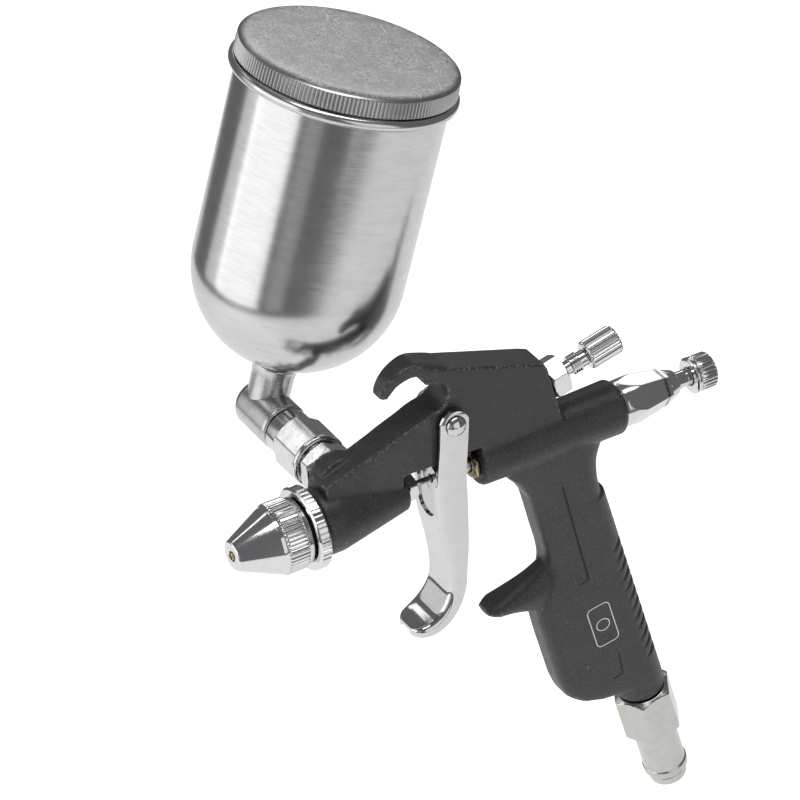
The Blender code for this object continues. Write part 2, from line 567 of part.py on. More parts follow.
    # cup joint
    at = (SWIVEL[0], 0, SWIVEL[1])
    revolve("cup_fitting", [(1.6, 2.5), (1.6, 4.6), (6.4, 4.6), (6.4, 6.6), (6.9, 6.9, "hex"), (10.4, 6.9, "hex"),
                            (10.9, 6.6), (10.9, 5.4), (12.4, 5.4), (12.4, 6.2), (23.6, 6.2), (24.0, 5.8),
                            (24.0, 2.5)], at, Y_AXIS, chrome, 24)
    revolve("swivel_seal", [(24.3, 2.6), (24.3, 6.0), (25.1, 6.0), (25.1, 2.6)], at, Y_AXIS, seal, 16)
    revolve("union_nut", [(11.6, 6.55), (11.6, 7.7), (12.2, 8.2), (13.2, 8.2), (13.6, 7.2, "hex"),
                          (24.4, 7.2, "hex"), (25.0, 7.0), (30.0, 6.9), (30.7, 6.3), (30.7, 5.3), (26.6, 5.3),
                          (26.6, 6.55)], at, Y_AXIS, chrome, 24)
    build_cup(chrome, alloy, seal)

    # air inlet
    at = (STUB[0], 0, STUB[1])
    revolve("inlet_plug", [(-11.0, 3.2), (-11.0, 5.2), (0.4, 5.2), (0.4, 7.5), (1.1, 8.2, "hex"),
                           (16.6, 8.2, "hex"), (17.3, 7.5), (17.3, 6.5), (32.5, 6.5), (32.9, 6.86),
                           (35.2, 6.86), (35.4, 5.3), (36.4, 5.3), (36.6, 5.74), (39.0, 5.74), (39.6, 5.2),
                           (39.6, 3.2)], at, TUBE_AXIS, nickel, 24)
    revolve("inlet_seal", [(-12.3, 3.3), (-12.3, 5.2), (-11.3, 5.2), (-11.3, 3.3)], at, TUBE_AXIS, seal, 16)
    to_metres()


main()
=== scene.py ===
import math

import bmesh
import bpy
from mathutils import Matrix, Vector


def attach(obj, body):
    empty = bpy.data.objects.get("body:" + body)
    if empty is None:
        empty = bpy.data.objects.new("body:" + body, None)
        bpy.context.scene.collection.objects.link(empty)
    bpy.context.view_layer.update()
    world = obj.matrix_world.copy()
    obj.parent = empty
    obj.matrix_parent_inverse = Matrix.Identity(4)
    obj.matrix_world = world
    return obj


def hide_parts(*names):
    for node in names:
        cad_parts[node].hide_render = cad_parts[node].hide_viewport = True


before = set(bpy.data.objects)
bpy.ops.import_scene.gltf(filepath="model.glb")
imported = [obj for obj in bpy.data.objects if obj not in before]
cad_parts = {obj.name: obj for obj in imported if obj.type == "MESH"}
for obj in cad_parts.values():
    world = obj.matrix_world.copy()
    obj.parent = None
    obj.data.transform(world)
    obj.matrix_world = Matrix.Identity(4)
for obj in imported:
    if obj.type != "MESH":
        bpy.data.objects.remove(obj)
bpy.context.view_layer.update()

# Shapes are worked out in gun coordinates, in millimetres: x runs rearward along the needle, y to the
# cup side, z up. add_mesh() moves them to the row frame, whose origin is the hanging point in the hook.
HANG = Vector((57.6, 0.0, 38.0))
MM = 0.001
PIVOT = (67.8, 20.6)
PIN_BORE = 1.75
HANDLE_TILT = math.radians(14.2)
STUB = (131.4, -104.5)
TUBE_R = 7.6
CONTROL_TILT = math.radians(13.0)
CONTROL = (101.63, 17.6)
SWIVEL = (35.4, 9.9)
CUP_Y = 42.7
CUP_TILT = math.radians(18.0)
CUP_R = 30.0
CUP_WALL = 1.0
X_AXIS, Y_AXIS = Vector((1, 0, 0)), Vector((0, 1, 0))
TUBE_AXIS = Vector((math.sin(HANDLE_TILT), 0, -math.cos(HANDLE_TILT)))
CONTROL_AXIS = Vector((math.cos(CONTROL_TILT), 0, math.sin(CONTROL_TILT)))
CUP_AXIS = Vector((math.sin(CUP_TILT), 0, math.cos(CUP_TILT)))


def axes(origin, axis):
    """Frame with its z along the axis, in gun coordinates."""
    return Matrix.Translation(Vector(origin)) @ axis.to_track_quat("Z", "Y").to_matrix().to_4x4()


NEEDLE = axes((0, 0, 0), X_AXIS)
PIN = axes((PIVOT[0], 0, PIVOT[1]), Y_AXIS)
AIR = axes((CONTROL[0], 0, CONTROL[1]), CONTROL_AXIS)
ARM = axes((SWIVEL[0], 0, SWIVEL[1]), Y_AXIS)
CUP = axes((SWIVEL[0], CUP_Y, SWIVEL[1]), CUP_AXIS)
INLET = axes((STUB[0], 0, STUB[1]), TUBE_AXIS)

# ---------------- shader helpers


class Shader:
    """A material and short ways to add nodes to it."""

    def __init__(self, name, colour=(0.8, 0.8, 0.8), metallic=0.0, roughness=0.5):
        self.mat = bpy.data.materials.new(name)
        self.mat.use_nodes = True
        self.tree = self.mat.node_tree
        self.out = self.tree.nodes["Principled BSDF"]
        self.set("Base Color", (*colour, 1.0))
        self.set("Metallic", metallic)
        self.set("Roughness", roughness)
        self.place = self.add("ShaderNodeTexCoord").outputs["Object"]

    def set(self, socket, value):
        if isinstance(value, bpy.types.NodeSocket):
            self.tree.links.new(value, self.out.inputs[socket])
        else:
            self.out.inputs[socket].default_value = value

    def add(self, kind, **values):
        node = self.tree.nodes.new(kind)
        for key, value in values.items():
            setattr(node, key, value)
        return node

    def feed(self, socket, value):
        if isinstance(value, bpy.types.NodeSocket):
            self.tree.links.new(value, socket)
        else:
            socket.default_value = value

    def math(self, operation, a, b=0.0):
        node = self.add("ShaderNodeMath", operation=operation)
        self.feed(node.inputs[0], a)
        self.feed(node.inputs[1], b)
        return node.outputs[0]

    def times(self, a, b):
        return self.math("MULTIPLY", a, b)

    def plus(self, a, b):
        return self.math("ADD", a, b)

    def minus(self, a, b):
        return self.math("SUBTRACT", a, b)

    def hypot(self, a, b):
        return self.math("POWER", self.plus(self.times(a, a), self.times(b, b)), 0.5)

    def step(self, value, low, high, to_low=0.0, to_high=1.0):
        """Smooth change from to_low to to_high while the value goes from low to high."""
        node = self.add("ShaderNodeMapRange", interpolation_type="SMOOTHSTEP")
        for socket, v in zip(node.inputs, (value, low, high, to_low, to_high)):
            self.feed(socket, v)
        return node.outputs[0]

    def split(self, vector):
        node = self.add("ShaderNodeSeparateXYZ")
        self.feed(node.inputs[0], vector)
        return node.outputs

    def join(self, x, y, z):
        node = self.add("ShaderNodeCombineXYZ")
        for socket, v in zip(node.inputs, (x, y, z)):
            self.feed(socket, v)
        return node.outputs[0]

    def around(self, x, y, along, radius, turns, pitch):
        """Noise position that runs round an axis: turns sets the detail round it, pitch along it."""
        return self.join(self.times(self.math("DIVIDE", x, radius), turns),
                         self.times(self.math("DIVIDE", y, radius), turns), self.times(along, pitch))

    def noise(self, vector, scale, detail=2.0, rough=0.5, stretch=None):
        if stretch is not None:
            node = self.add("ShaderNodeMapping")
            self.feed(node.inputs["Vector"], vector)
            node.inputs["Scale"].default_value = stretch
            vector = node.outputs[0]
        node = self.add("ShaderNodeTexNoise")
        self.feed(node.inputs["Vector"], vector)
        node.inputs["Scale"].default_value = scale
        node.inputs["Detail"].default_value = detail
        node.inputs["Roughness"].default_value = rough
        return node.outputs[0]

    def local(self, basis):
        """Position in a piece's own frame, its z along the axis, in metres."""
        node = self.add("ShaderNodeMapping", vector_type="TEXTURE")
        self.feed(node.inputs["Vector"], self.place)
        node.inputs["Location"].default_value = (basis.translation - HANG) * MM
        node.inputs["Rotation"].default_value = basis.to_euler()
        return node.outputs[0]

    def mix(self, factor, a, b):
        node = self.add("ShaderNodeMix", data_type="RGBA")
        self.feed(node.inputs[0], factor)
        self.feed(node.inputs[6], a)
        self.feed(node.inputs[7], b)
        return node.outputs[2]

    def bump(self, height, depth, normal=None):
        """Bump whose full height is a depth in metres."""
        node = self.add("ShaderNodeBump")
        node.inputs["Strength"].default_value = 1.0
        node.inputs["Distance"].default_value = depth
        self.feed(node.inputs["Height"], height)
        if normal is not None:
            self.feed(node.inputs["Normal"], normal)
        return node.outputs[0]

    def hairlines(self, u, v, pitch, width, reach=0.42, seed=0.0):
        """Short straight scratches at random angles, about one for each pitch (metres) square."""
        across_cells = self.math("MULTIPLY_ADD", u, 1.0 / pitch)
        flat = self.join(across_cells, self.times(v, 1.0 / pitch), 0.0)
        shift = self.add("ShaderNodeMapping")
        self.feed(shift.inputs["Vector"], flat)
        shift.inputs["Location"].default_value = (seed * 7.3, seed * 3.1, 0)
        cell = self.add("ShaderNodeTexVoronoi", voronoi_dimensions="2D")
        self.feed(cell.inputs["Vector"], shift.outputs[0])
        cell.inputs["Scale"].default_value = 1.0
        off = self.add("ShaderNodeVectorMath", operation="SUBTRACT")
        self.feed(off.inputs[0], shift.outputs[0])
        self.feed(off.inputs[1], cell.outputs["Position"])
        angle = self.times(self.split(cell.outputs["Color"])[0], 6.2832)
        turn = self.add("ShaderNodeVectorRotate", rotation_type="Z_AXIS")
        self.feed(turn.inputs["Vector"], off.outputs[0])
        self.feed(turn.inputs["Angle"], angle)
        x, y, _ = self.split(turn.outputs[0])
        bend = self.times(self.times(y, y), 0.5)
        across = self.math("ABSOLUTE", self.minus(x, bend))
        line = self.step(across, 0.0, width, 1.0, 0.0)
        end = self.step(self.math("ABSOLUTE", y), reach * 0.6, reach, 1.0, 0.0)
        return self.times(line, end)


def turned_metal(name, colour, roughness, basis, marks, wear, dirt=0.0):
    """Machined and plated metal: fine turning marks round the axis, cloudy polish and light scratches."""
    s = Shader(name, colour, 1.0, roughness)
    x, y, z = s.split(s.local(basis))
    radius = s.hypot(x, y)
    safe = s.math("MAXIMUM", radius, 0.0004)
    along = s.plus(z, radius)
    around = s.around(x, y, along, safe, 1.4, 5200)
    rings = s.noise(around, 1.0, 3.0, 0.6)
    cloud = s.noise(s.place, 260, 3.0, 0.6)
    haze = s.noise(s.place, 1500, 2.0, 0.5)
    streak = s.noise(s.place, 1.0, 2.0, 0.5, (5200, 700, 900))
    scuff = s.step(streak, 0.66, 0.74)
    rough = s.plus(s.times(s.minus(rings, 0.5), 0.16 * marks),
                   s.times(s.minus(cloud, 0.45), 0.12 * wear))
    rough = s.plus(s.plus(rough, s.times(scuff, 0.1 * wear)), roughness)
    s.set("Roughness", s.math("MAXIMUM", rough, 0.03))
    deep = tuple(c * (0.95 - 0.22 * dirt) for c in colour)
    shade = s.mix(s.step(cloud, 0.4, 0.75), (*colour, 1.0), (*deep, 1.0))
    s.set("Base Color", shade)
    normal = s.bump(rings, 0.0000016 * marks)
    normal = s.bump(haze, 0.000004 * wear, normal)
    s.set("Normal", normal)
    return s.mat


# Half length, half width and corner radius of the printed frame, and the radius of its ring, in metres.
FRAME_BOX = (0.0077, 0.0036, 0.0016)
RING_RADIUS = 0.0021
# Middle of the printed frame, and the engraved lines as (from, to, half width), in gun millimetres.
PRINT_AT = (114.6, -70.0)
GUIDE_LINES = (((102.4, -15.5), (110.2, -51.5), 0.34), ((107.7, -52.5), (110.2, -51.6), 0.4),
               ((119.7, -83.0), (121.0, -90.6), 0.34), ((118.2, -91.7), (121.0, -90.7), 0.4))


def print_frame(s, u, v):
    """Plain printed frame with a ring in it, as thin lines; u and v are metres from its middle."""
    def box(half_u, half_v, corner):
        qx = s.minus(s.math("ABSOLUTE", u), half_u - corner)
        qy = s.minus(s.math("ABSOLUTE", v), half_v - corner)
        ox, oy = s.math("MAXIMUM", qx, 0.0), s.math("MAXIMUM", qy, 0.0)
        far = s.hypot(ox, oy)
        near = s.math("MINIMUM", s.math("MAXIMUM", qx, qy), 0.0)
        return s.math("ABSOLUTE", s.minus(s.plus(far, near), corner))
    ring = s.math("ABSOLUTE", s.minus(s.hypot(u, v), RING_RADIUS))
    lines = s.math("MINIMUM", box(*FRAME_BOX), ring)
    return s.step(lines, 0.00011, 0.00019, 1.0, 0.0)


def groove_mask(s, x, z, a, b, half):
    """1 on a straight engraved line between two (x, z) points in gun millimetres, on a flat side."""
    ax, az = (a[0] - HANG.x) * MM, (a[1] - HANG.z) * MM
    bx, bz = (b[0] - HANG.x) * MM, (b[1] - HANG.z) * MM
    dx, dz = bx - ax, bz - az
    length = math.hypot(dx, dz)
    ux, uz = dx / length, dz / length
    px, pz = s.minus(x, ax), s.minus(z, az)
    along = s.plus(s.times(px, ux), s.times(pz, uz))
    across = s.math("ABSOLUTE", s.minus(s.times(px, uz), s.times(pz, ux)))
    over = s.math("MAXIMUM", s.minus(s.math("ABSOLUTE", s.minus(along, length / 2)),
                                    length / 2), 0.0)
    reach = s.plus(across, over)
    return s.step(reach, half * 0.45 * MM, half * MM, 1.0, 0.0)


def painted_metal():
    """Satin black paint over a casting: fine grain, orange peel, light flecks as painted glints, a painted
    highlight with wear along sharp edges, engraved guide lines darkened as painted shade.
    """
    s = Shader("black_paint_fine", (0.03, 0.03, 0.032), 0.0, 0.42)
    x, y, z = s.split(s.place)
    grain = s.noise(s.place, 3400, 3.0, 0.65)
    peel = s.noise(s.place, 900, 2.0, 0.5)
    cloud = s.noise(s.place, 120, 3.0, 0.55)
    lines = None
    for a, b, half in GUIDE_LINES:
        mask = groove_mask(s, x, z, a, b, half)
        lines = mask if lines is None else s.math("MAXIMUM", lines, mask)
    near_side = s.step(y, -0.0034, -0.003, 1.0, 0.0)
    lines = s.times(lines, near_side)
    px, pz = s.minus(x, (PRINT_AT[0] - HANG.x) * MM), s.minus(z, (PRINT_AT[1] - HANG.z) * MM)
    c, n = math.sin(HANDLE_TILT), math.cos(HANDLE_TILT)
    u = s.plus(s.times(px, c), s.times(pz, -n))
    v = s.plus(s.times(px, n), s.times(pz, c))
    ink = s.times(print_frame(s, u, v), near_side)
    geometry = s.add("ShaderNodeNewGeometry")
    # Painted highlight and wear: sharp convex edges, broken up by noise, turn a lighter grey in the base
    # colour.
    edge = s.step(geometry.outputs["Pointiness"], 0.505, 0.535)
    chip_and_highlight = s.step(s.noise(s.place, 1100, 3.0, 0.7), 0.5, 0.62)
    # Painted glints: light grey flecks stand in for sparkle off the paint; they are also less rough.
    glint_fleck = s.step(s.noise(s.place, 3600, 2.0, 0.6), 0.61, 0.70)
    base = s.mix(s.step(cloud, 0.35, 0.7), (0.026, 0.026, 0.028, 1), (0.034, 0.034, 0.035, 1))
    # Painted glints mixed into the base colour.
    base = s.mix(s.times(glint_fleck, 0.8), base, (0.2, 0.2, 0.2, 1))
    # Painted edge highlight with wear, mixed into the base colour.
    base = s.mix(s.times(s.times(edge, chip_and_highlight), 0.45), base, (0.3, 0.3, 0.3, 1))
    # Painted shade: the engraved lines are darkened to near black, standing in for shade in the grooves;
    # their roughness and bump are their own.
    base = s.mix(s.times(lines, 0.8), base, (0.004, 0.004, 0.004, 1))
    base = s.mix(ink, base, (0.82, 0.82, 0.8, 1))
    s.set("Base Color", base)
    rough = s.plus(s.step(grain, 0.3, 0.7, 0.33, 0.5), s.times(lines, 0.3))
    s.set("Roughness", s.minus(rough, s.times(glint_fleck, 0.12)))
    s.set("Specular IOR Level", 0.5)
    normal = s.bump(grain, 0.000055)
    normal = s.bump(peel, 0.000030, normal)
    normal = s.bump(s.times(lines, -1.0), 0.00025, normal)
    s.set("Normal", normal)
    return s.mat


# Layers of lid scratches: spacing in metres, width as a share of the spacing, and a seed.
HAIR_LAYERS = ((0.0017, 0.10, 1.0), (0.0021, 0.085, 2.0), (0.0028, 0.065, 3.0), (0.0019, 0.095, 7.0),
               (0.0038, 0.048, 4.0), (0.0024, 0.078, 5.0), (0.0052, 0.036, 6.0), (0.0033, 0.055, 8.0))


def brushed_alloy(name, colour, roughness, scratches, haze, grain):
    """Spun aluminium in the cup's frame: brushing round the axis, and hairline scratches on flat faces."""
    s = Shader(name, colour, 1.0, roughness)
    x, y, z = s.split(s.local(CUP))
    radius = s.hypot(x, y)
    safe = s.math("MAXIMUM", radius, 0.0006)
    along = s.plus(z, s.times(radius, 0.35))
    fine = s.noise(s.around(x, y, along, safe, 5.0, 3300), 1.0, 4.0, 0.7)
    band = s.noise(s.around(x, y, along, safe, 3.0, 420), 1.0, 3.0, 0.6)
    cloud = s.noise(s.place, 90, 4.0, 0.6)
    rough = s.plus(s.times(s.minus(fine, 0.5), 0.2 * grain),
                   s.times(s.minus(cloud, 0.5), 0.2 * haze))
    rough = s.plus(rough, roughness)
    tone = s.step(s.plus(s.times(fine, 0.6), s.times(band, 0.4)), 0.35, 0.65)
    dark = tuple(c * 0.86 for c in colour)
    base = s.mix(tone, (*dark, 1.0), (*colour, 1.0))
    normal = s.bump(fine, 0.0000030 * grain)
    normal = s.bump(band, 0.000006 * grain, normal)
    if scratches:
        hairs = None
        for pitch, width, seed in HAIR_LAYERS:
            hair = s.hairlines(x, y, pitch, width, 0.45, seed)
            hairs = hair if hairs is None else s.math("MAXIMUM", hairs, hair)
        patch = s.step(s.noise(s.place, 190, 4.0, 0.65), 0.30, 0.62, 0.3, 1.0)
        hairs = s.times(hairs, patch)
        top = s.step(radius, 0.0292, 0.0306, 1.0, 0.0)
        hairs = s.times(hairs, top)
        pits = s.noise(s.place, 2300, 4.0, 0.75)
        speck = s.times(s.step(pits, 0.52, 0.66), s.times(patch, top))
        dull = s.math("MAXIMUM", s.times(hairs, scratches), s.times(speck, 0.5))
        mottle = s.times(s.step(s.noise(s.place, 210, 4.0, 0.7), 0.3, 0.7, 0.04, 0.24), top)
        dull = s.math("MAXIMUM", dull, mottle)
        base = s.mix(dull, base, (0.95, 0.95, 0.94, 1))
        s.set("Metallic", s.minus(1.0, s.times(dull, 0.9)))
        rough = s.plus(rough, s.times(hairs, 0.3))
        normal = s.bump(s.times(hairs, -1.0), 0.00002 * scratches, normal)
        normal = s.bump(s.times(pits, top), 0.000022, normal)
    s.set("Roughness", s.math("MAXIMUM", rough, 0.05))
    s.set("Base Color", base)
    s.set("Normal", normal)
    return s.mat


def soft_seal(name, colour, roughness):
    """Turned plastic or moulded rubber with a faint grain."""
    s = Shader(name, colour, 0.0, roughness)
    grain = s.noise(s.place, 2400, 3.0, 0.6)
    cloud = s.noise(s.place, 240, 2.0, 0.5)
    low = tuple(c * 0.78 for c in colour)
    s.set("Base Color", s.mix(s.step(cloud, 0.3, 0.7), (*low, 1.0), (*colour, 1.0)))
    s.set("Roughness", s.step(grain, 0.2, 0.8, roughness - 0.1, roughness + 0.12))
    s.set("Normal", s.bump(grain, 0.000012))
    return s.mat


CHROME = (0.70, 0.70, 0.705)
BRASS = (0.46, 0.36, 0.23)
PAINT = painted_metal()
CHROME_NEEDLE = turned_metal("chrome_needle_line", CHROME, 0.10, NEEDLE, 0.7, 0.5)
CHROME_PIN = turned_metal("chrome_trigger", (0.62, 0.62, 0.62), 0.09, PIN, 0.0, 0.8)
CHROME_AIR = turned_metal("chrome_air_control", CHROME, 0.11, AIR, 0.6, 0.5)
CHROME_ARM = turned_metal("chrome_cup_arm", CHROME, 0.12, ARM, 0.7, 0.9, 0.3)
CHROME_CUP = turned_metal("chrome_cup_neck", (0.58, 0.58, 0.58), 0.27, CUP, 0.8, 1.0, 0.6)
NICKEL = turned_metal("nickel_inlet", (0.54, 0.535, 0.505), 0.17, INLET, 0.8, 0.5, 0.2)
BRASS_NEEDLE = turned_metal("brass_needle_line", BRASS, 0.2, NEEDLE, 1.0, 0.7, 0.5)
STEEL = turned_metal("spring_steel_fine", (0.56, 0.56, 0.57), 0.22, NEEDLE, 0.6, 0.7, 0.3)
ALLOY = brushed_alloy("cup_aluminium_brushed", (0.62, 0.62, 0.62), 0.20, 0.0, 0.4, 0.5)
ALLOY_LID = brushed_alloy("cup_aluminium_lid", (0.46, 0.46, 0.46), 0.30, 0.95, 0.8, 0.6)
SEAL = soft_seal("seal_white", (0.82, 0.82, 0.78), 0.45)
RUBBER = soft_seal("rubber_black", (0.025, 0.025, 0.026), 0.6)

# ---------------- mesh helpers

KNURL = "knurl"


def new_object(name, data):
    ob = bpy.data.objects.new(name, data)
    bpy.context.collection.objects.link(ob)
    return ob


def mesh_from(name, bm):
    mesh = bpy.data.meshes.new(name)
    bm.to_mesh(mesh)
    bm.free()
    return mesh


def dress(ob, mat):
    """Give a piece one material."""
    ob.data.materials.clear()
    ob.data.materials.append(mat)


def add_mesh(name, verts, faces, mat, body=None, node=None, sharp=28):
    """Piece from gun-millimetre points, closed with outward faces, riding on its body."""
    mesh = bpy.data.meshes.new(name)
    mesh.from_pydata(verts, [], faces)
    mesh.update()
    bm = bmesh.new()
    bm.from_mesh(mesh)
    bmesh.ops.recalc_face_normals(bm, faces=bm.faces)
    bm.to_mesh(mesh)
    bm.free()
    ob = new_object(name, mesh)
    if mat is not None:
        mesh.materials.append(mat)
        settle(ob, body, node, sharp)
    return ob


def settle(ob, body, node, sharp=28):
    """Finish a piece: metres in the row frame, shading, and its place in the CAD frame."""
    ob.data.transform(Matrix.Scale(MM, 4) @ Matrix.Translation(-HANG))
    ob.data.shade_smooth()
    ob.data.set_sharp_from_angle(angle=math.radians(sharp))
    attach(ob, body)
    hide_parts(node)


def hex_radius(flat, turn, phase=0.0):
    """Radius of a hexagon over its flats at an angle in radians, with slightly broken corners."""
    off = (math.degrees(turn) + 30.0 + phase) % 60.0 - 30.0
    return min(flat / math.cos(math.radians(off)), flat / math.cos(math.radians(30.0)) - 0.08)


def station(point, turn):
    """Radius of one profile point at one angle."""
    r = point[1]
    kind = point[2] if len(point) > 2 else None
    if kind == "hex":
        return min(hex_radius(r, turn, point[4]), point[3])
    if kind == "knurl":
        phase = (point[3] * turn / (2 * math.pi)) % 1.0
        cut = max(0.0, abs(2 * phase - 1) - point[5]) / (1 - point[5])
        return r - point[4] * (cut * cut * (3 - 2 * cut))
    if kind == "thread":
        phase = point[0] / point[3] - turn / (2 * math.pi)
        return r - point[4] * (0.5 - 0.5 * math.cos(2 * math.pi * phase))
    return r


def expand(profile, soft):
    """Profile with rounded corners, chamfered hexagon bands and cut threads."""
    closed = profile[0][1] > 1e-6
    count = len(profile)
    out = []
    for i, p in enumerate(profile):
        before, after = profile[i - 1], profile[(i + 1) % count]
        kind = p[2] if len(p) > 2 else None
        if kind == "hex":
            if len(before) > 2 and before[2] == "hex":
                continue
            q, end = after, profile[(i + 2) % count]
            slope = p[3] if len(p) > 3 else 1.6
            phase = p[4] if len(p) > 4 else 0.0
            way = 1 if q[0] > p[0] else -1
            corner = max(p[1], q[1]) / math.cos(math.radians(30))
            span = abs(end[0] - before[0])

            def flat(a, p=p, q=q):
                t = min(max((a - p[0]) / (q[0] - p[0]), 0.0), 1.0)
                return p[1] + (q[1] - p[1]) * t

            first, last = [], []
            for base, sign, rows in ((before, way, first), (end, -way, last)):
                t = 0.0
                while t < span * (0.9 if slope < 0.5 and rows is first else 0.45):
                    t += 0.1 if slope > 0.5 else 0.4
                    a = base[0] + sign * t
                    limit = base[1] + slope * t if rows is first else base[1] + 1.6 * t
                    rows.append((a, flat(a), "hex", limit, phase))
                    if limit > corner + 0.1:
                        break
            out += first + last[::-1]
            continue
        if p[1] < 1e-6 or (not closed and i in (0, count - 1)):
            out.append(p)
            continue
        a, b, c = Vector(before[:2]), Vector(p[:2]), Vector(after[:2])
        d0, d1 = (a - b).length, (c - b).length
        size = min(soft, 0.4 * d0, 0.4 * d1)
        tail = tuple(p[2:])
        if kind == "thread" and len(before) > 2 and before[2] == "thread":
            steps = max(2, int(abs(p[0] - before[0]) / p[3] * 8))
            for k in range(1, steps + 1):
                t = k / steps
                fade = min(1.0, 4 * t, 4 * (1 - t))
                out.append((before[0] + (p[0] - before[0]) * t, before[1] + (p[1] - before[1]) * t,
                            "thread", p[3], p[4] * fade))
            continue
        if size < 0.03 or (a - b).angle(c - b) > math.radians(172):
            out.append(p)
            continue
        p0, p1 = b + (a - b) * (size / d0), b + (c - b) * (size / d1)
        for t in (0.0, 0.25, 0.5, 0.75, 1.0):
            m = p0 * (1 - t) ** 2 + b * (2 * t * (1 - t)) + p1 * t * t
            out.append((m.x, m.y) + tail)
    return out


def lathe(name, profile, basis, mat=None, body=None, segments=96, soft=0.15, sharp=28, node=None):
    """Turned piece with rounded corners. Points are (distance along, radius, kind, ...)."""
    rows = expand(profile, soft)
    verts, rings = [], []
    for p in rows:
        if p[1] < 1e-6:
            rings.append([len(verts)])
            verts.append(basis @ Vector((0, 0, p[0])))
            continue
        ring = []
        for i in range(segments):
            turn = 2 * math.pi * i / segments
            r = station(p, turn)
            ring.append(len(verts))
            verts.append(basis @ Vector((r * math.cos(turn), r * math.sin(turn), p[0])))
        rings.append(ring)
    faces = []
    closed = profile[0][1] > 1e-6
    for i in range(len(rings) if closed else len(rings) - 1):
        a, b = rings[i], rings[(i + 1) % len(rings)]
        if len(a) == 1 and len(b) == 1:
            continue
        for j in range(segments):
            k = (j + 1) % segments
            if len(a) == 1:
                faces.append((a[0], b[j], b[k]))
            elif len(b) == 1:
                faces.append((a[j], a[k], b[0]))
            else:
                faces.append((a[j], a[k], b[k], b[j]))
    return add_mesh(name, verts, faces, mat, body, node, sharp)


def loft(name, loops, mat=None, body=None, sharp=40, node=None):
    """Skin through equal loops of points in gun millimetres."""
    count = len(loops[0])
    verts = [Vector(p) for loop in loops for p in loop]
    faces = []
    for i in range(len(loops) - 1):
        a, b = i * count, (i + 1) * count
        for j in range(count):
            k = (j + 1) % count
            faces.append((a + j, a + k, b + k, b + j))
    faces.append(tuple(range(count)))
    faces.append(tuple(range(len(verts) - count, len(verts))))
    return add_mesh(name, verts, faces, mat, body, node, sharp)


def triangulate(ob):
    """Split the faces into triangles and turn them outward."""
    bm = bmesh.new()
    bm.from_mesh(ob.data)
    bmesh.ops.triangulate(bm, faces=bm.faces)
    bmesh.ops.recalc_face_normals(bm, faces=bm.faces)
    bm.to_mesh(ob.data)
    bm.free()


def boolean(target, tool, operation):
    """Join or cut now, and remove the tool."""
    triangulate(target)
    triangulate(tool)
    mod = target.modifiers.new("cut", "BOOLEAN")
    mod.operation = operation
    mod.solver = "MANIFOLD"
    mod.object = tool
    apply_modifiers(target)
    bpy.data.objects.remove(tool, do_unlink=True)
    return target


def apply_modifiers(ob):
    """Make the modifiers' result the mesh."""
    bpy.context.view_layer.update()
    graph = bpy.context.evaluated_depsgraph_get()
    mesh = bpy.data.meshes.new_from_object(ob.evaluated_get(graph))
    ob.modifiers.clear()
    ob.data = mesh


def rod(name, start, end, radius, segments):
    """Plain cylinder between two points."""
    start, end = Vector(start), Vector(end)
    length = (end - start).length
    return lathe(name, [(0, 0), (0, radius), (length, radius), (length, 0)],
                 axes(start, (end - start).normalized()), segments=segments, soft=0)


def spline(table, key):
    """Smooth reading of rows of numbers, keyed by a row position such as 2.4."""
    i = min(int(key), len(table) - 2)
    t = key - i
    p0, p1, p2, p3 = table[max(i - 1, 0)], table[i], table[i + 1], table[min(i + 2, len(table) - 1)]
    out = []
    for a, b, c, d in zip(p0, p1, p2, p3):
        out.append(0.5 * (2 * b + (c - a) * t + (2 * a - 5 * b + 4 * c - d) * t * t
                          + (3 * b - a - 3 * c + d) * t ** 3))
    return out


def between(table, value):
    """Smooth reading of (key, result) pairs with falling keys."""
    for i, ((k0, _), (k1, _)) in enumerate(zip(table, table[1:])):
        if k0 >= value >= k1:
            return spline(table, i + (k0 - value) / (k0 - k1))[1]
    return table[0][1] if value > table[0][0] else table[-1][1]


def arc(cx, cz, r, a0, a1, steps):
    """Points on a circle from one angle to another, in degrees."""
    out = []
    for i in range(steps + 1):
        a = math.radians(a0 + (a1 - a0) * i / steps)
        out.append((cx + r * math.cos(a), cz + r * math.sin(a)))
    return out


# ---------------- gun body

HANDLE_FRONT = [(0.0, 84.0), (-8.0, 86.5), (-12.0, 90.0), (-18.0, 93.4), (-30.0, 96.2), (-43.0, 98.8),
                (-50.0, 97.4), (-56.0, 95.0), (-62.0, 95.2), (-70.0, 96.8), (-80.0, 99.2),
                (-88.0, 101.2), (-94.0, 103.6), (-97.4, 107.5), (-99.2, 113.0)]
HANDLE_REAR = [(0.0, 122.0), (-8.0, 118.6), (-12.0, 116.9), (-18.0, 116.6), (-24.0, 117.4)]
SPUR_TOP = [(100.0, -43.0), (94.0, -46.2), (88.0, -48.5), (83.5, -50.0), (80.2, -51.2), (78.6, -52.4)]
SPUR_UNDER = [(100.0, -63.5), (94.0, -59.8), (88.0, -57.4), (83.5, -56.2), (80.2, -55.4), (78.6, -54.2)]
HOOK_BAR = [(48.9, 33.7, 2.3, 1.3), (49.6, 35.4, 2.6, 1.8), (51.6, 37.9, 3.0, 2.0), (54.6, 39.6, 3.5, 2.1),
            (58.4, 40.2, 4.1, 2.1), (63.0, 38.4, 4.7, 2.2), (66.5, 36.8, 4.8, 2.3)]
CAST_VOXEL = 0.36
GRIP_TOP, GRIP_PITCH, GRIP_COUNT = -45.0, 3.95, 12
GRIP_HALF, GRIP_DEPTH = 1.3, 0.5


def tube_x(z):
    """Where the axis of the handle's round back is at a height."""
    return STUB[0] - (z - STUB[1]) * math.tan(HANDLE_TILT)


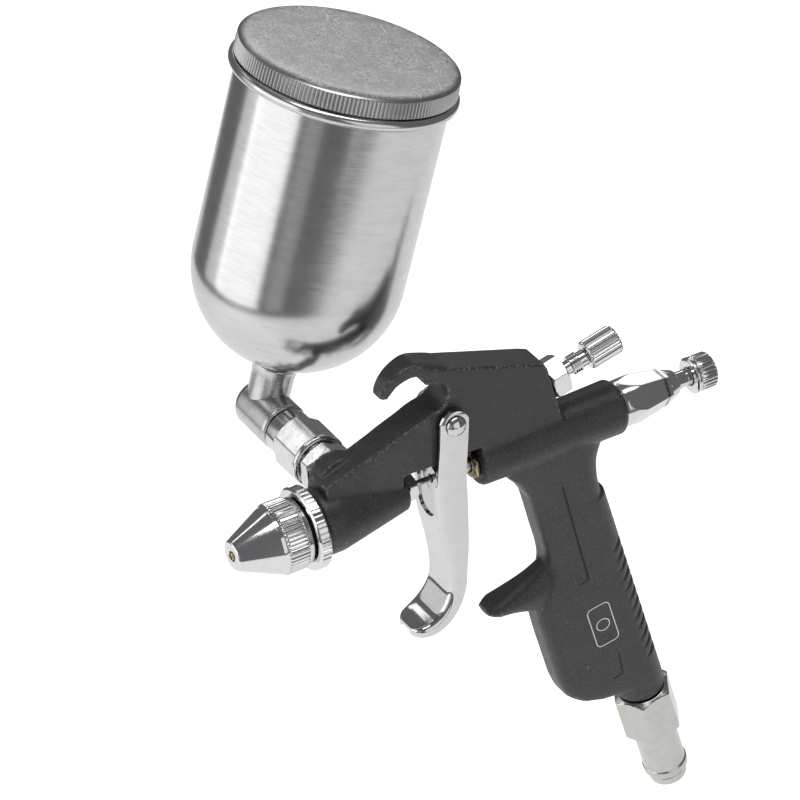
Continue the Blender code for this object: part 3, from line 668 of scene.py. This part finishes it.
def handle_section(z):
    """Level section of the handle: a round back, flat sides and a front with eased corners."""
    front, centre = between(HANDLE_FRONT, z), tube_x(z)
    rear = between(HANDLE_REAR, z) if z > -24.0 else centre + TUBE_R / math.cos(HANDLE_TILT)
    points = []
    for i in range(33):
        a = math.radians(-90 + 180 * i / 32)
        points.append((centre + (rear - centre) * math.cos(a), TUBE_R * math.sin(a), z))
    half, corner = 5.6, 3.4
    for side, a0 in ((1, 90), (-1, 180)):
        for i in range(13):
            a = math.radians(a0 + 90 * i / 12)
            points.append((front + corner + corner * math.cos(a),
                           side * (half - corner) + corner * math.sin(a), z))
    return points


def spur_section(x):
    """Oval section of the finger spur."""
    top, under = between(SPUR_TOP, x), between(SPUR_UNDER, x)
    half = 5.0 if x > 82 else 3.0 + 2.0 * (x - 78.6) / 3.4
    mid, high = (top + under) / 2, (top - under) / 2
    return [(x, half * math.cos(2 * math.pi * i / 40), mid + high * math.sin(2 * math.pi * i / 40))
            for i in range(40)]


def hook_section(key):
    """Squarish section of the hook's bar, across its path."""
    x, z, half, high = spline(HOOK_BAR, key)
    last = len(HOOK_BAR) - 1
    a, b = spline(HOOK_BAR, max(key - 0.2, 0)), spline(HOOK_BAR, min(key + 0.2, last))
    along = Vector((b[0] - a[0], 0, b[1] - a[1])).normalized()
    up = Vector((-along.z, 0, along.x))
    loop = []
    for j in range(48):
        t = 2 * math.pi * (j + 0.5) / 48
        c, s = math.cos(t), math.sin(t)
        loop.append(Vector((x, 0, z)) + Y_AXIS * math.copysign(abs(c) ** 0.42, c) * half
                    + up * math.copysign(abs(s) ** 0.42, s) * high)
    return loop


def slab(name, outline, half, edge):
    """Plate in the x-z plane with its long edges rounded. half is a function of x."""
    bm = bmesh.new()
    low = [bm.verts.new((x, -half(x), z)) for x, z in outline]
    high = [bm.verts.new((x, half(x), z)) for x, z in outline]
    caps = [bm.faces.new(low), bm.faces.new(high)]
    for i in range(len(outline)):
        j = (i + 1) % len(outline)
        bm.faces.new((low[i], low[j], high[j], high[i]))
    bmesh.ops.bevel(bm, geom=list({e for f in caps for e in f.edges}), offset=edge, segments=4, profile=0.5,
                    affect="EDGES", clamp_overlap=True)
    bmesh.ops.recalc_face_normals(bm, faces=bm.faces)
    return new_object(name, mesh_from(name, bm))


def build_body():
    """Casting: its parts joined, skinned and eased, then grooved and bored."""
    hump = ([(57.0, 7.6), (60.0, 24.35)] + arc(62.7, 30.0, 4.8, -90, 90, 24)
            + [(60.5, 35.3), (60.8, 39.9), (63.5, 39.6), (96.2, 28.3), (98.8, 27.2), (99.85, 25.3),
               (102.9, 12.1), (106.0, 0.0), (78.0, 0.0), (77.6, 7.6)])
    web = [(28.2, -2.0), (28.2, 13.2), (58.5, 23.75), (62.0, 24.9), (62.0, 7.9), (52.0, 7.9), (52.0, -2.0)]
    levels = [0.0 - 99.2 * i / 120 for i in range(121)]
    parts = [
        slab("body_hump", hump, lambda x: 5.0, 0.5),
        slab("body_web", web, lambda x: 4.0 + 1.02 * (x - 28.2) / 28.8, 0.5),
        lathe("body_front", [(26.0, 0), (26.0, 9.0), (26.8, 9.8), (31.5, 9.8), (53.4, 5.9), (54.0, 5.4),
                             (54.0, 0)], NEEDLE, segments=96, soft=0.8),
        lathe("body_spigot", [(15, 0), (15, 7.4), (26.5, 7.4), (26.5, 0)], NEEDLE, segments=96, soft=0.3),
        lathe("body_rear", [(77.4, 0), (77.4, 6.7), (78.2, 7.4), (123.5, 8.2), (124.3, 7.6), (124.3, 0)],
              NEEDLE, segments=96, soft=0.5),
        loft("body_handle", [handle_section(z) for z in levels]),
        loft("body_spur", [spur_section(100.0 - 21.4 * i / 60) for i in range(61)]),
        loft("body_hook", [hook_section((len(HOOK_BAR) - 1) * i / 60) for i in range(61)]),
        rod("body_boss", (SWIVEL[0], 0.5, SWIVEL[1]), (SWIVEL[0], 6.0, SWIVEL[1]), 7.3, 72),
        lathe("body_stub", [(-30, 0), (-30, 7.3), (-0.8, 7.5), (-0.1, 7.0), (-0.1, 0)], INLET,
              segments=72, soft=0.4),
    ]
    whole = bmesh.new()
    for part in parts:
        triangulate(part)
        whole.from_mesh(part.data)
        bpy.data.objects.remove(part, do_unlink=True)
    body = new_object("body_casting", mesh_from("body_cast", whole))
    cast = body.modifiers.new("cast", "REMESH")
    cast.mode = "VOXEL"
    cast.voxel_size = CAST_VOXEL
    ease = body.modifiers.new("ease", "SMOOTH")
    ease.factor = 0.5
    ease.iterations = 5
    apply_modifiers(body)
    carve_grip(body.data)
    cutter = None
    for tool in (
        lathe("cut_front", [(14, 0), (14, 5.9), (22, 5.9), (22, 4.6), (34, 4.6), (34, 1.5), (50, 1.5),
                            (50, 3.3), (55, 3.3), (55, 0)], NEEDLE, segments=64, soft=0),
        lathe("cut_rear", [(76, 0), (76, 4.2), (84, 4.2), (84, 3.4), (88, 3.4), (88, 5.6), (125.5, 5.6),
                           (125.5, 0)], NEEDLE, segments=64, soft=0),
        lathe("cut_control", [(-20.5, 0), (-20.5, 2.2), (-7.6, 2.2), (-7.6, 3.9), (2, 3.9), (2, 0)], AIR,
              segments=62, soft=0),
        rod("cut_spot", (SWIVEL[0], 6.05, SWIVEL[1]), (SWIVEL[0], 14.0, SWIVEL[1]), 8.7, 60),
        rod("cut_boss", (SWIVEL[0], 1.2, SWIVEL[1]), (SWIVEL[0], 8.0, SWIVEL[1]), 4.9, 58),
        lathe("cut_inlet", [(-103.7, 0), (-103.7, 3.0), (-12.6, 3.0), (-12.6, 5.5), (3.1, 5.5), (3.1, 0)],
              INLET, segments=56, soft=0),
        rod("cut_pin", (PIVOT[0], -9, PIVOT[1]), (PIVOT[0], 9, PIVOT[1]), PIN_BORE, 40),
    ):
        cutter = tool if cutter is None else boolean(cutter, tool, "UNION")
    boolean(body, cutter, "DIFFERENCE")
    dress(body, PAINT)
    settle(body, "gun", "gun_body", 50)


def carve_grip(mesh):
    """Finger grooves across the rear of the handle, fading out round its sides."""
    side = TUBE_AXIS.cross(Y_AXIS).normalized()
    if side.x < 0:
        side = -side
    base = Vector((STUB[0], 0, STUB[1]))
    centres = [(Vector((tube_x(z), 0, z)) - base).dot(TUBE_AXIS)
               for z in (GRIP_TOP - GRIP_PITCH * i for i in range(GRIP_COUNT))]
    for vert in mesh.vertices:
        if vert.co.z > -40 or vert.co.z < -92:
            continue
        rel = vert.co - base
        along = rel.dot(TUBE_AXIS)
        out = rel - TUBE_AXIS * along
        if out.length < TUBE_R - 0.9:
            continue
        angle = math.degrees(math.atan2(abs(out.y), out.dot(side)))
        fade = min(1.0, max(0.0, (80.0 - angle) / 30.0))
        if fade <= 0:
            continue
        gap = min(abs(along - c) for c in centres)
        if gap < GRIP_HALF:
            depth = GRIP_DEPTH * (0.5 + 0.5 * math.cos(math.pi * gap / GRIP_HALF)) * fade
            vert.co -= out.normalized() * depth


build_body()

# ---------------- trigger

# Rows down the trigger: x and z of the front face, lean in degrees, flange depth and half width.
TRIGGER_ROWS = [
    (66.6, 25.05, 0, 2.4, 7.5), (64.9, 24.0, 0, 5.8, 7.5), (63.6, 22.2, 0, 8.4, 7.5),
    (63.3, 20.6, 0, 9.0, 7.5), (62.9, 14.0, 0, 8.9, 7.5), (61.9, 4.0, 0, 9.0, 7.5),
    (61.8, -4.0, 0, 9.1, 7.5), (61.9, -12.0, 0, 9.0, 7.4), (63.6, -22.0, 0, 7.2, 7.1),
    (64.6, -30.0, 1, 5.6, 6.9), (64.6, -36.0, 8, 4.9, 6.9), (63.2, -40.3, 28, 4.5, 7.0),
    (60.7, -43.4, 50, 4.2, 7.1), (57.8, -45.3, 68, 3.7, 6.9), (55.2, -46.2, 80, 3.1, 6.1),
    (53.8, -46.6, 86, 2.6, 4.8), (53.0, -46.8, 90, 2.2, 3.2)]
SHEET = 1.2
FLANGE_HALF = 7.5
BEND_RADIUS = 1.9
EASED_EDGE = 0.22


def trigger_section(row):
    """Pressed channel: a front web, two rounded corners and two flanges with eased edges."""
    x, z, lean, depth, half = row
    back = Vector((math.cos(math.radians(lean)), 0, -math.sin(math.radians(lean))))
    t, e = SHEET, EASED_EDGE
    r = min(BEND_RADIUS, depth * 0.5)
    inner_r = max(r - t, 0.35)
    right = [(depth - e, half), (depth - 0.3 * e, half - 0.3 * e), (depth, half - e),
             (depth, half - t + e), (depth - 0.3 * e, half - t + 0.3 * e), (depth - e, half - t)]
    turns = [math.radians(90 * i / 8) for i in range(9)]
    corner = [(r - r * math.sin(a), half - r + r * math.cos(a)) for a in turns]
    inside = [(t + inner_r - inner_r * math.sin(a), half - t - inner_r + inner_r * math.cos(a))
              for a in turns]
    web = [(0, (half - r) * (1 - i / 3)) for i in range(1, 3)]
    outer = corner + web + [(0, 0)]
    outer = outer + [(a, -b) for a, b in outer[-2::-1]]
    low = [(a, -b) for a, b in right]
    inner_web = [(t, (half - t - inner_r) * (1 - i / 3)) for i in range(1, 3)]
    inner = inside + inner_web + [(t, 0)]
    inner = inner + [(a, -b) for a, b in inner[-2::-1]]
    loop = right[::-1][3:] + outer + low + inner[::-1] + right[::-1][:3]
    origin = Vector((x, 0, z))
    return [origin + back * a + Y_AXIS * b for a, b in loop]


def build_trigger():
    """Pressed lever with an open window behind the needle gland and a bore through both ears."""
    steps = 150
    rows = [spline(TRIGGER_ROWS, (len(TRIGGER_ROWS) - 1) * i / steps) for i in range(steps + 1)]
    trigger = loft("trigger_lever", [trigger_section(row) for row in rows])
    wide, half = FLANGE_HALF - SHEET - 0.1, 4.4
    outline = [(wide, 30.0), (-wide, 30.0), (-wide, 1.2), (-half - 0.5, 0.5), (-half, -0.6)]
    outline += [(-half * math.cos(math.radians(a)), -7.4 - half * math.sin(math.radians(a)))
                for a in range(0, 181, 8)]
    outline += [(half, -0.6), (half + 0.5, 0.5), (wide, 1.2)]
    window = loft("cut_window", [[(x, y, z) for y, z in outline] for x in (58.0, 75.0)])
    boolean(trigger, window, "DIFFERENCE")
    ears = rod("cut_ears", (PIVOT[0], -9, PIVOT[1]), (PIVOT[0], 9, PIVOT[1]), PIN_BORE, 40)
    boolean(trigger, ears, "DIFFERENCE")
    dress(trigger, CHROME_PIN)
    settle(trigger, "trigger", "trigger", 34)


build_trigger()

# ---------------- turned pieces


def coil(name, x0, x1, mean, wire, turns, body, node):
    """Round-wire spring along the needle line with closed ends."""
    steps, sides = 32, 10
    count = turns * steps
    pitch = (x1 - x0 - 2 * wire) / turns
    loops = []
    for i in range(count + 1):
        a = 2 * math.pi * i / steps
        out = Vector((0, math.cos(a), math.sin(a)))
        centre = X_AXIS * (x0 + wire + pitch * i / steps) + out * mean
        loops.append([centre + out * wire * math.cos(b) + X_AXIS * wire * math.sin(b)
                      for b in (2 * math.pi * j / sides for j in range(sides))])
    return loft(name, loops, STEEL, body, node=node, sharp=50)


def turned_pieces():
    """Every piece turned on a lathe, and the two springs."""
    # node, piece, frame, material, body, slot, segments, rounding, profile of (along, radius, kind, ...)
    pieces = [
        ("fluid_nozzle", "nozzle_tip", NEEDLE, BRASS_NEEDLE, "gun", "brass", 120, 0.1, [
            (-0.4, 0.8), (-0.4, 1.1), (2.5, 1.5), (12, 4.2), (16, 4.2), (16.4, 4.8, "hex"),
            (20.5, 4.8, "hex"), (20.9, 4.7), (20.9, 4.3), (21.5, 4.3), (22.0, 4.3, "thread", 0.75, 0.3),
            (33.0, 4.3, "thread", 0.75, 0.3), (33.5, 4.0), (33.5, 1.9), (6, 1.9), (1.2, 0.8)]),
        ("nozzle_seal", "nozzle_washer", NEEDLE, SEAL, "gun", "seal", 64, 0.1, [
            (21.1, 4.55), (21.1, 5.6), (21.7, 5.6), (21.7, 4.55)]),
        ("air_cap", "spray_cap", NEEDLE, CHROME_NEEDLE, "air_cap", "chrome", 648, 0.22, [
            (0, 1.55), (0, 4.1), (0.4, 4.5), (11.6, 9.65), (12.4, 9.7), (12.7, 9.95),
            (13.3, 10.5, KNURL, 54, 0.42, 0.34), (18.8, 10.5, KNURL, 54, 0.42, 0.34), (19.2, 9.8),
            (20.6, 9.8), (20.6, 7.75), (14.4, 7.75), (12.5, 6.6), (2.0, 2.3), (1.2, 1.55)]),
        ("lock_ring", "cap_lock_ring", NEEDLE, CHROME_NEEDLE, "lock_ring", "chrome", 552, 0.2, [
            (21.2, 7.75), (21.2, 11.6), (21.75, 12.2), (21.9, 12.25, KNURL, 46, 0.45, 0.62),
            (24.4, 12.25, KNURL, 46, 0.45, 0.62), (24.55, 12.2), (25.1, 11.6), (25.1, 7.75)]),
        ("fluid_needle", "paint_needle", NEEDLE, STEEL, "needle", "spring_steel", 32, 0.1, [
            (-0.6, 0), (-0.5, 0.15), (3, 0.5), (9, 0.9), (117, 0.9), (117, 0)]),
        ("needle_packing", "needle_gland_ring", NEEDLE, SEAL, "gun", "seal", 48, 0.1, [
            (50.3, 1.15), (50.3, 3.0), (52.2, 3.0), (52.2, 1.15)]),
        ("packing_nut", "needle_gland_nut", NEEDLE, CHROME_NEEDLE, "gun", "chrome", 120, 0.08, [
            (52.5, 1.2), (52.5, 2.95), (54.4, 2.95), (54.4, 3.4), (54.8, 3.7, "hex"), (57.2, 3.7, "hex"),
            (57.6, 3.4), (57.6, 1.2)]),
        ("trigger_pin", "pivot_pin", PIN, CHROME_PIN, "gun", "chrome", 72, 0.12, [
            (-9.95, 0), (-9.88, 0.8), (-9.65, 1.6), (-9.2, 2.35), (-8.55, 2.95), (-8.2, 3.15),
            (-7.8, 3.15), (-7.8, 1.6), (8.0, 1.6), (8.0, 1.2), (8.8, 1.2), (8.8, 1.6), (9.3, 1.3),
            (9.3, 0)]),
        ("pin_clip", "pivot_clip", PIN, STEEL, "gun", "spring_steel", 64, 0.1, [
            (8.15, 1.35), (8.15, 3.0), (8.65, 3.0), (8.65, 1.35)]),
        ("valve_sleeve", "valve_tube", NEEDLE, STEEL, "air_valve", "brass", 72, 0.15, [
            (63.4, 1.3), (63.4, 4.3), (64.6, 5.6), (66.2, 5.6), (66.2, 2.4), (90.6, 2.4), (90.6, 4.9),
            (91.8, 4.9), (91.8, 3.3), (93.0, 3.3), (93.0, 2.4), (100, 2.4), (100, 1.3)]),
        ("valve_gland", "valve_gland_nut", NEEDLE, BRASS_NEEDLE, "gun", "brass", 120, 0.08, [
            (75.4, 2.7), (75.4, 3.9), (75.8, 4.3, "hex"), (76.7, 4.3, "hex"), (77.1, 3.9), (80.7, 3.9),
            (80.7, 2.7)]),
        ("gland_packing", "valve_gland_ring", NEEDLE, SEAL, "gun", "seal", 48, 0.1, [
            (81.0, 2.7), (81.0, 3.9), (83.6, 3.9), (83.6, 2.7)]),
        ("valve_disc", "valve_face", NEEDLE, RUBBER, "air_valve", "rubber", 48, 0.15, [
            (88.35, 2.7), (88.35, 4.9), (90.3, 4.9), (90.3, 2.7)]),
        ("needle_chuck", "needle_collet", NEEDLE, BRASS_NEEDLE, "needle", "brass", 64, 0.15, [
            (101.7, 1.15), (101.7, 3.3), (108.6, 3.3), (108.9, 3.55), (112.4, 3.55), (112.4, 2.1),
            (114.4, 2.1), (114.4, 1.15)]),
        ("spring_housing", "needle_spring_cap", NEEDLE, CHROME_NEEDLE, "gun", "chrome", 240, 0.15, [
            (117.6, 3.9), (117.6, 5.3, "thread", 1.0, 0.35), (124.3, 5.3, "thread", 1.0, 0.35),
            (124.6, 5.3), (124.6, 7.0), (125.2, 7.2, "hex", 0.02, 30), (141.0, 4.72, "hex", 0.02, 30),
            (141.6, 4.75), (142.2, 4.55), (144.6, 3.7), (144.6, 2.9), (141.5, 2.9), (141.5, 3.9)]),
        ("needle_spindle", "needle_stop_spindle", NEEDLE, CHROME_NEEDLE, "needle_stop", "chrome", 72, 0.15, [
            (122, 0), (122, 1.9), (134.2, 1.9), (134.2, 3.5), (136.2, 3.5), (136.2, 2.6), (150.2, 2.6),
            (150.2, 1.9), (155.0, 1.9), (155.0, 0)]),
        ("needle_knob", "needle_adjuster", NEEDLE, CHROME_NEEDLE, "needle_knob", "chrome", 312, 0.18, [
            (156.8, 0), (156.8, 3.2), (156.55, 4.0), (156.8, 4.4), (156.75, 4.8),
            (156.2, 5.35, KNURL, 26, 0.42, 0.3), (151.6, 5.35, KNURL, 26, 0.42, 0.3), (151.3, 4.8),
            (151.0, 5.46), (150.1, 5.46), (149.7, 4.6), (149.7, 2.9), (150.5, 2.9), (150.5, 2.2),
            (155.3, 2.2), (155.3, 0)]),
        ("air_control_nut", "air_valve_nut", AIR, CHROME_AIR, "gun", "chrome", 240, 0.12, [
            (-6.0, 2.3), (-6.0, 3.6), (0.3, 3.6), (0.3, 5.2), (0.9, 5.4, "hex"), (5.2, 5.4, "hex"),
            (5.8, 4.9), (5.8, 2.3)]),
        ("air_control_stem", "air_valve_stem", AIR, CHROME_AIR, "air_screw", "chrome", 96, 0.15, [
            (-17.0, 0), (-16.6, 0.7), (-13.0, 1.9), (5.0, 2.0), (8.35, 2.05),
            (8.35, 2.95, "thread", 0.7, 0.3), (11.2, 2.95, "thread", 0.7, 0.3), (11.2, 2.4), (13.6, 2.4),
            (13.6, 1.6), (20.0, 1.6), (20.0, 0)]),
        ("control_o_ring", "air_valve_ring", AIR, RUBBER, "gun", "rubber", 48, 0.1, [
            (-7.2, 2.45), (-7.2, 3.3), (-6.95, 3.5), (-6.55, 3.5), (-6.3, 3.3), (-6.3, 2.45),
            (-6.55, 2.25), (-6.95, 2.25)]),
        ("air_control_knob", "air_adjuster", AIR, CHROME_AIR, "air_knob", "chrome", 288, 0.18, [
            (24.2, 0), (24.2, 2.6), (23.95, 3.2), (24.2, 3.6), (24.1, 3.9),
            (23.6, 4.35, KNURL, 24, 0.4, 0.3), (14.6, 4.35, KNURL, 24, 0.4, 0.3), (13.9, 3.8), (13.9, 1.9),
            (20.4, 1.9), (20.4, 0)]),
        ("cup_fitting", "cup_arm_fitting", ARM, CHROME_ARM, "gun", "chrome", 240, 0.12, [
            (1.6, 2.5), (1.6, 4.6), (6.4, 4.6), (6.4, 6.6), (6.9, 6.9, "hex"), (10.4, 6.9, "hex"),
            (10.9, 6.6), (10.9, 5.4), (12.4, 5.4), (12.5, 6.2, "thread", 0.8, 0.35),
            (23.5, 6.2, "thread", 0.8, 0.35), (24.0, 5.8), (24.0, 2.5)]),
        ("swivel_seal", "cup_arm_seal", ARM, SEAL, "gun", "seal", 64, 0.1, [
            (24.3, 2.6), (24.3, 6.0), (25.1, 6.0), (25.1, 2.6)]),
        ("union_nut", "cup_arm_nut", ARM, CHROME_ARM, "union_nut", "chrome", 240, 0.2, [
            (11.6, 6.55), (11.6, 7.7), (12.2, 8.2), (13.2, 8.2), (13.6, 7.2, "hex"), (24.4, 7.2, "hex"),
            (25.0, 7.0), (30.0, 6.9), (30.7, 6.3), (30.7, 5.3), (26.6, 5.3), (26.6, 6.55)]),
        ("cup_nut", "cup_base_nut", CUP, CHROME_CUP, "cup", "chrome", 240, 0.1, [
            (17.9, 5.65), (17.9, 6.4), (18.3, 7.2, "hex"), (20.7, 7.2, "hex"), (21.1, 6.6), (21.1, 5.65)]),
        ("lid_gasket", "lid_washer", CUP, SEAL, "lid_seal", "seal", 128, 0.12, [
            (108.3, 27.0), (108.3, 30.0), (109.0, 30.0), (109.0, 27.0)]),
        ("inlet_plug", "hose_plug", INLET, NICKEL, "gun", "nickel", 240, 0.25, [
            (-11.0, 3.2), (-11.0, 5.2, "thread", 1.3, 0.45), (0.1, 5.2, "thread", 1.3, 0.45), (0.4, 5.2),
            (0.4, 7.5), (1.1, 8.2, "hex"), (16.6, 8.2, "hex"), (17.3, 7.5), (17.3, 6.5), (32.5, 6.5),
            (32.9, 6.86), (35.2, 6.86), (35.4, 5.3), (36.4, 5.3), (36.6, 5.74), (39.0, 5.74), (39.6, 5.2),
            (39.6, 3.2)]),
        ("inlet_seal", "hose_plug_seal", INLET, SEAL, "gun", "seal", 64, 0.1, [
            (-12.3, 3.3), (-12.3, 5.2), (-11.3, 5.2), (-11.3, 3.3)]),
    ]
    for node, piece, basis, mat, body, slot, segments, soft, profile in pieces:
        lathe(piece, profile, basis, mat, body, segments, soft, node=node)
    coil("valve_return_spring", 92.1, 117.3, 4.35, 0.35, 7, "gun", "valve_spring")
    coil("needle_return_spring", 112.7, 133.9, 2.8, 0.3, 7, "gun", "needle_spring")


turned_pieces()

# ---------------- cup


CUP_SHOULDER = 45.0
CUP_FOOT = 15.45
CUP_BORE = 5.65
RIM_SPLIT = math.radians(0.45)
RIM_SPLIT_AT = math.radians(-62)


def cup_dome(radius, bottom, steps=36):
    """Profile of the bowl's round bottom, from its bore to the straight wall."""
    height = CUP_SHOULDER - bottom
    start = math.asin(CUP_BORE / radius)
    return [(bottom + height * (1 - math.cos(a)), radius * math.sin(a))
            for a in (start + (math.pi / 2 - start) * i / steps for i in range(steps + 1))]


def build_elbow():
    """Swivel elbow and its neck, bored through, as one casting."""
    elbow = lathe("cup_elbow_casting", [(25.4, 0), (25.4, 6.2), (26.2, 6.2), (26.2, 5.0), (31.1, 5.0),
                                        (31.1, 6.7), (31.8, 7.16), (46.9, 7.16), (48.5, 6.3), (49.3, 4.6),
                                        (49.3, 0)], ARM, segments=96, soft=0.9)
    neck = lathe("neck", [(0, 0), (0, 5.9), (11.5, 6.2), (13.6, 6.5), (15.1, 7.0), (15.1, 5.3), (21.3, 5.3),
                          (21.3, 0)], CUP, segments=92, soft=0.7)
    boolean(elbow, neck, "UNION")
    foot = Vector((SWIVEL[0], CUP_Y, SWIVEL[1]))
    boolean(elbow, rod("cut_arm", (SWIVEL[0], 24, SWIVEL[1]), foot, 2.5, 40), "DIFFERENCE")
    boolean(elbow, rod("cut_neck", foot - CUP_AXIS * 1.5, foot + CUP_AXIS * 23, 2.5, 38), "DIFFERENCE")
    dress(elbow, CHROME_CUP)
    settle(elbow, "cup", "cup_elbow", 30)


def build_lid():
    """Lid with a knurled rim."""
    lid = [(110.95, 0), (110.95, 8.0), (110.93, 16.0), (110.9, 22.0), (110.86, 26.4), (110.78, 28.0),
           (110.6, 29.1), (110.35, 29.9), (110.1, 30.45), (109.8, 30.85),
           (109.55, 31.1, KNURL, 170, 0.42, 0.1), (104.95, 31.35, KNURL, 170, 0.42, 0.1), (104.8, 31.05),
           (104.7, 30.95), (104.7, 30.35), (109.3, 30.35), (109.3, 0)]
    lathe("cup_cover", lid, CUP, ALLOY_LID, "lid", 170 * 8, 0.3, node="cup_lid", sharp=40)


def build_rim():
    """Rolled band round the rim with a narrow split."""
    section = [(30.35, 101.45), (30.7, 101.2), (31.3, 101.15), (31.85, 101.5), (32.15, 102.1),
               (32.25, 102.7), (32.15, 103.3), (31.85, 103.85), (31.3, 104.2), (30.7, 104.2), (30.35, 104.0)]
    loops = []
    steps = 240
    for i in range(steps + 1):
        a = RIM_SPLIT + (2 * math.pi - 2 * RIM_SPLIT) * i / steps + RIM_SPLIT_AT
        out = Vector((math.cos(a), math.sin(a), 0))
        loops.append([CUP @ (out * r + Vector((0, 0, s))) for r, s in section])
    loft("cup_rim_band", loops, ALLOY, "cup", node="rim_ring", sharp=35)


def build_cup():
    build_elbow()
    wall = cup_dome(CUP_R, CUP_FOOT) + [(101.0, CUP_R), (108.0, CUP_R), (108.0, CUP_R - CUP_WALL)]
    wall += cup_dome(CUP_R - CUP_WALL, CUP_FOOT + CUP_WALL)[::-1]
    lathe("cup_bowl", wall, CUP, ALLOY, "cup", 256, 0.2, node="cup_shell")
    build_lid()
    build_rim()


build_cup()

# ---------------- camera, floor and light

CAMERA_AT = (-0.50089, -0.88901, 0.71476)
CAMERA_LOOK = Vector((0.39887, 0.71153, -0.57847))
CAMERA_ROLL = math.radians(-3.096)
LENS = 205.8
FLOOR_Z = -0.62
FLOOR_RADIUS = 1.5
PANEL_AIM = Vector((0.02, 0.02, -0.05))
WORLD_GREY = (0.16, 0.16, 0.165, 1)

# Soft panels: azimuth and elevation from the object in degrees, distance, width and height, brightness.
PANELS = [
    ("panel_left", 172, 8, 1.7, 1.6, 1.5, 1.45),
    ("panel_left_soft", 140, 8, 1.72, 0.7, 1.4, 0.7),
    ("panel_front", 272, 11, 1.7, 1.5, 1.6, 0.85),
    ("panel_mid", 213, 6, 1.75, 0.5, 1.3, 0.26),
    ("panel_top", 270, 84, 1.6, 1.5, 0.5, 4.6),
    ("panel_rear", 50, 25, 1.7, 0.9, 0.42, 1.3),
    ("panel_back", 64, 38, 1.72, 0.8, 0.5, 0.35),
    ("panel_arm", 108, 41, 1.7, 0.5, 0.2, 1.6),
    ("panel_strip", 232, 62, 1.7, 0.5, 0.12, 1.8)]

camera = new_object("camera", bpy.data.cameras.new("camera"))
camera.data.sensor_width = 36.0
camera.data.lens = LENS
camera.data.clip_start = 0.05
look = CAMERA_LOOK.to_track_quat("-Z", "Y").to_matrix()
camera.matrix_world = (Matrix.Translation(CAMERA_AT) @ look.to_4x4()
                       @ Matrix.Rotation(CAMERA_ROLL, 4, "Z"))
bpy.context.scene.camera = camera


def build_floor():
    """Plain pale disc, white to the camera and darker in reflections."""
    s = Shader("studio_floor", (0.86, 0.86, 0.86), 0.0, 0.8)
    grain = s.noise(s.place, 60, 2.0, 0.5)
    s.set("Base Color", s.mix(grain, (0.85, 0.85, 0.85, 1), (0.88, 0.88, 0.88, 1)))
    s.set("Emission Color", (1.0, 1.0, 1.0, 1.0))
    seen = s.add("ShaderNodeLightPath").outputs["Is Camera Ray"]
    s.set("Emission Strength", s.plus(0.50, s.times(seen, 0.5)))
    bm = bmesh.new()
    bmesh.ops.create_circle(bm, cap_ends=True, radius=FLOOR_RADIUS, segments=96)
    floor = new_object("studio_floor", mesh_from("studio_floor", bm))
    floor.data.materials.append(s.mat)
    floor.location = (0.0, 0.0, FLOOR_Z)


def softbox(name, azimuth, elevation, distance, width, height, brightness):
    """Soft panel at a direction from the object, facing it; brightness is its radiance."""
    a, e = math.radians(azimuth), math.radians(elevation)
    way = Vector((math.cos(e) * math.cos(a), math.cos(e) * math.sin(a), math.sin(e)))
    light = bpy.data.lights.new(name, "AREA")
    light.shape = "RECTANGLE"
    light.size, light.size_y = width, height
    light.energy = brightness * math.pi * width * height
    ob = new_object(name, light)
    ob.matrix_world = (Matrix.Translation(way * distance + PANEL_AIM)
                       @ way.to_track_quat("Z", "Y").to_matrix().to_4x4())
    ob.visible_camera = False


def build_world():
    """Dim grey surroundings in reflections and white behind the object for the camera."""
    world = bpy.data.worlds.new("studio")
    bpy.context.scene.world = world
    world.use_nodes = True
    tree = world.node_tree
    back = tree.nodes["Background"]
    back.inputs["Color"].default_value = WORLD_GREY
    white = tree.nodes.new("ShaderNodeBackground")
    white.inputs["Color"].default_value = (1, 1, 1, 1)
    mix = tree.nodes.new("ShaderNodeMixShader")
    path = tree.nodes.new("ShaderNodeLightPath")
    tree.links.new(path.outputs["Is Camera Ray"], mix.inputs[0])
    tree.links.new(back.outputs[0], mix.inputs[1])
    tree.links.new(white.outputs[0], mix.inputs[2])
    tree.links.new(mix.outputs[0], tree.nodes["World Output"].inputs["Surface"])


build_floor()
build_world()
for panel in PANELS:
    softbox(*panel)
bpy.context.scene.view_settings.view_transform = "Standard"
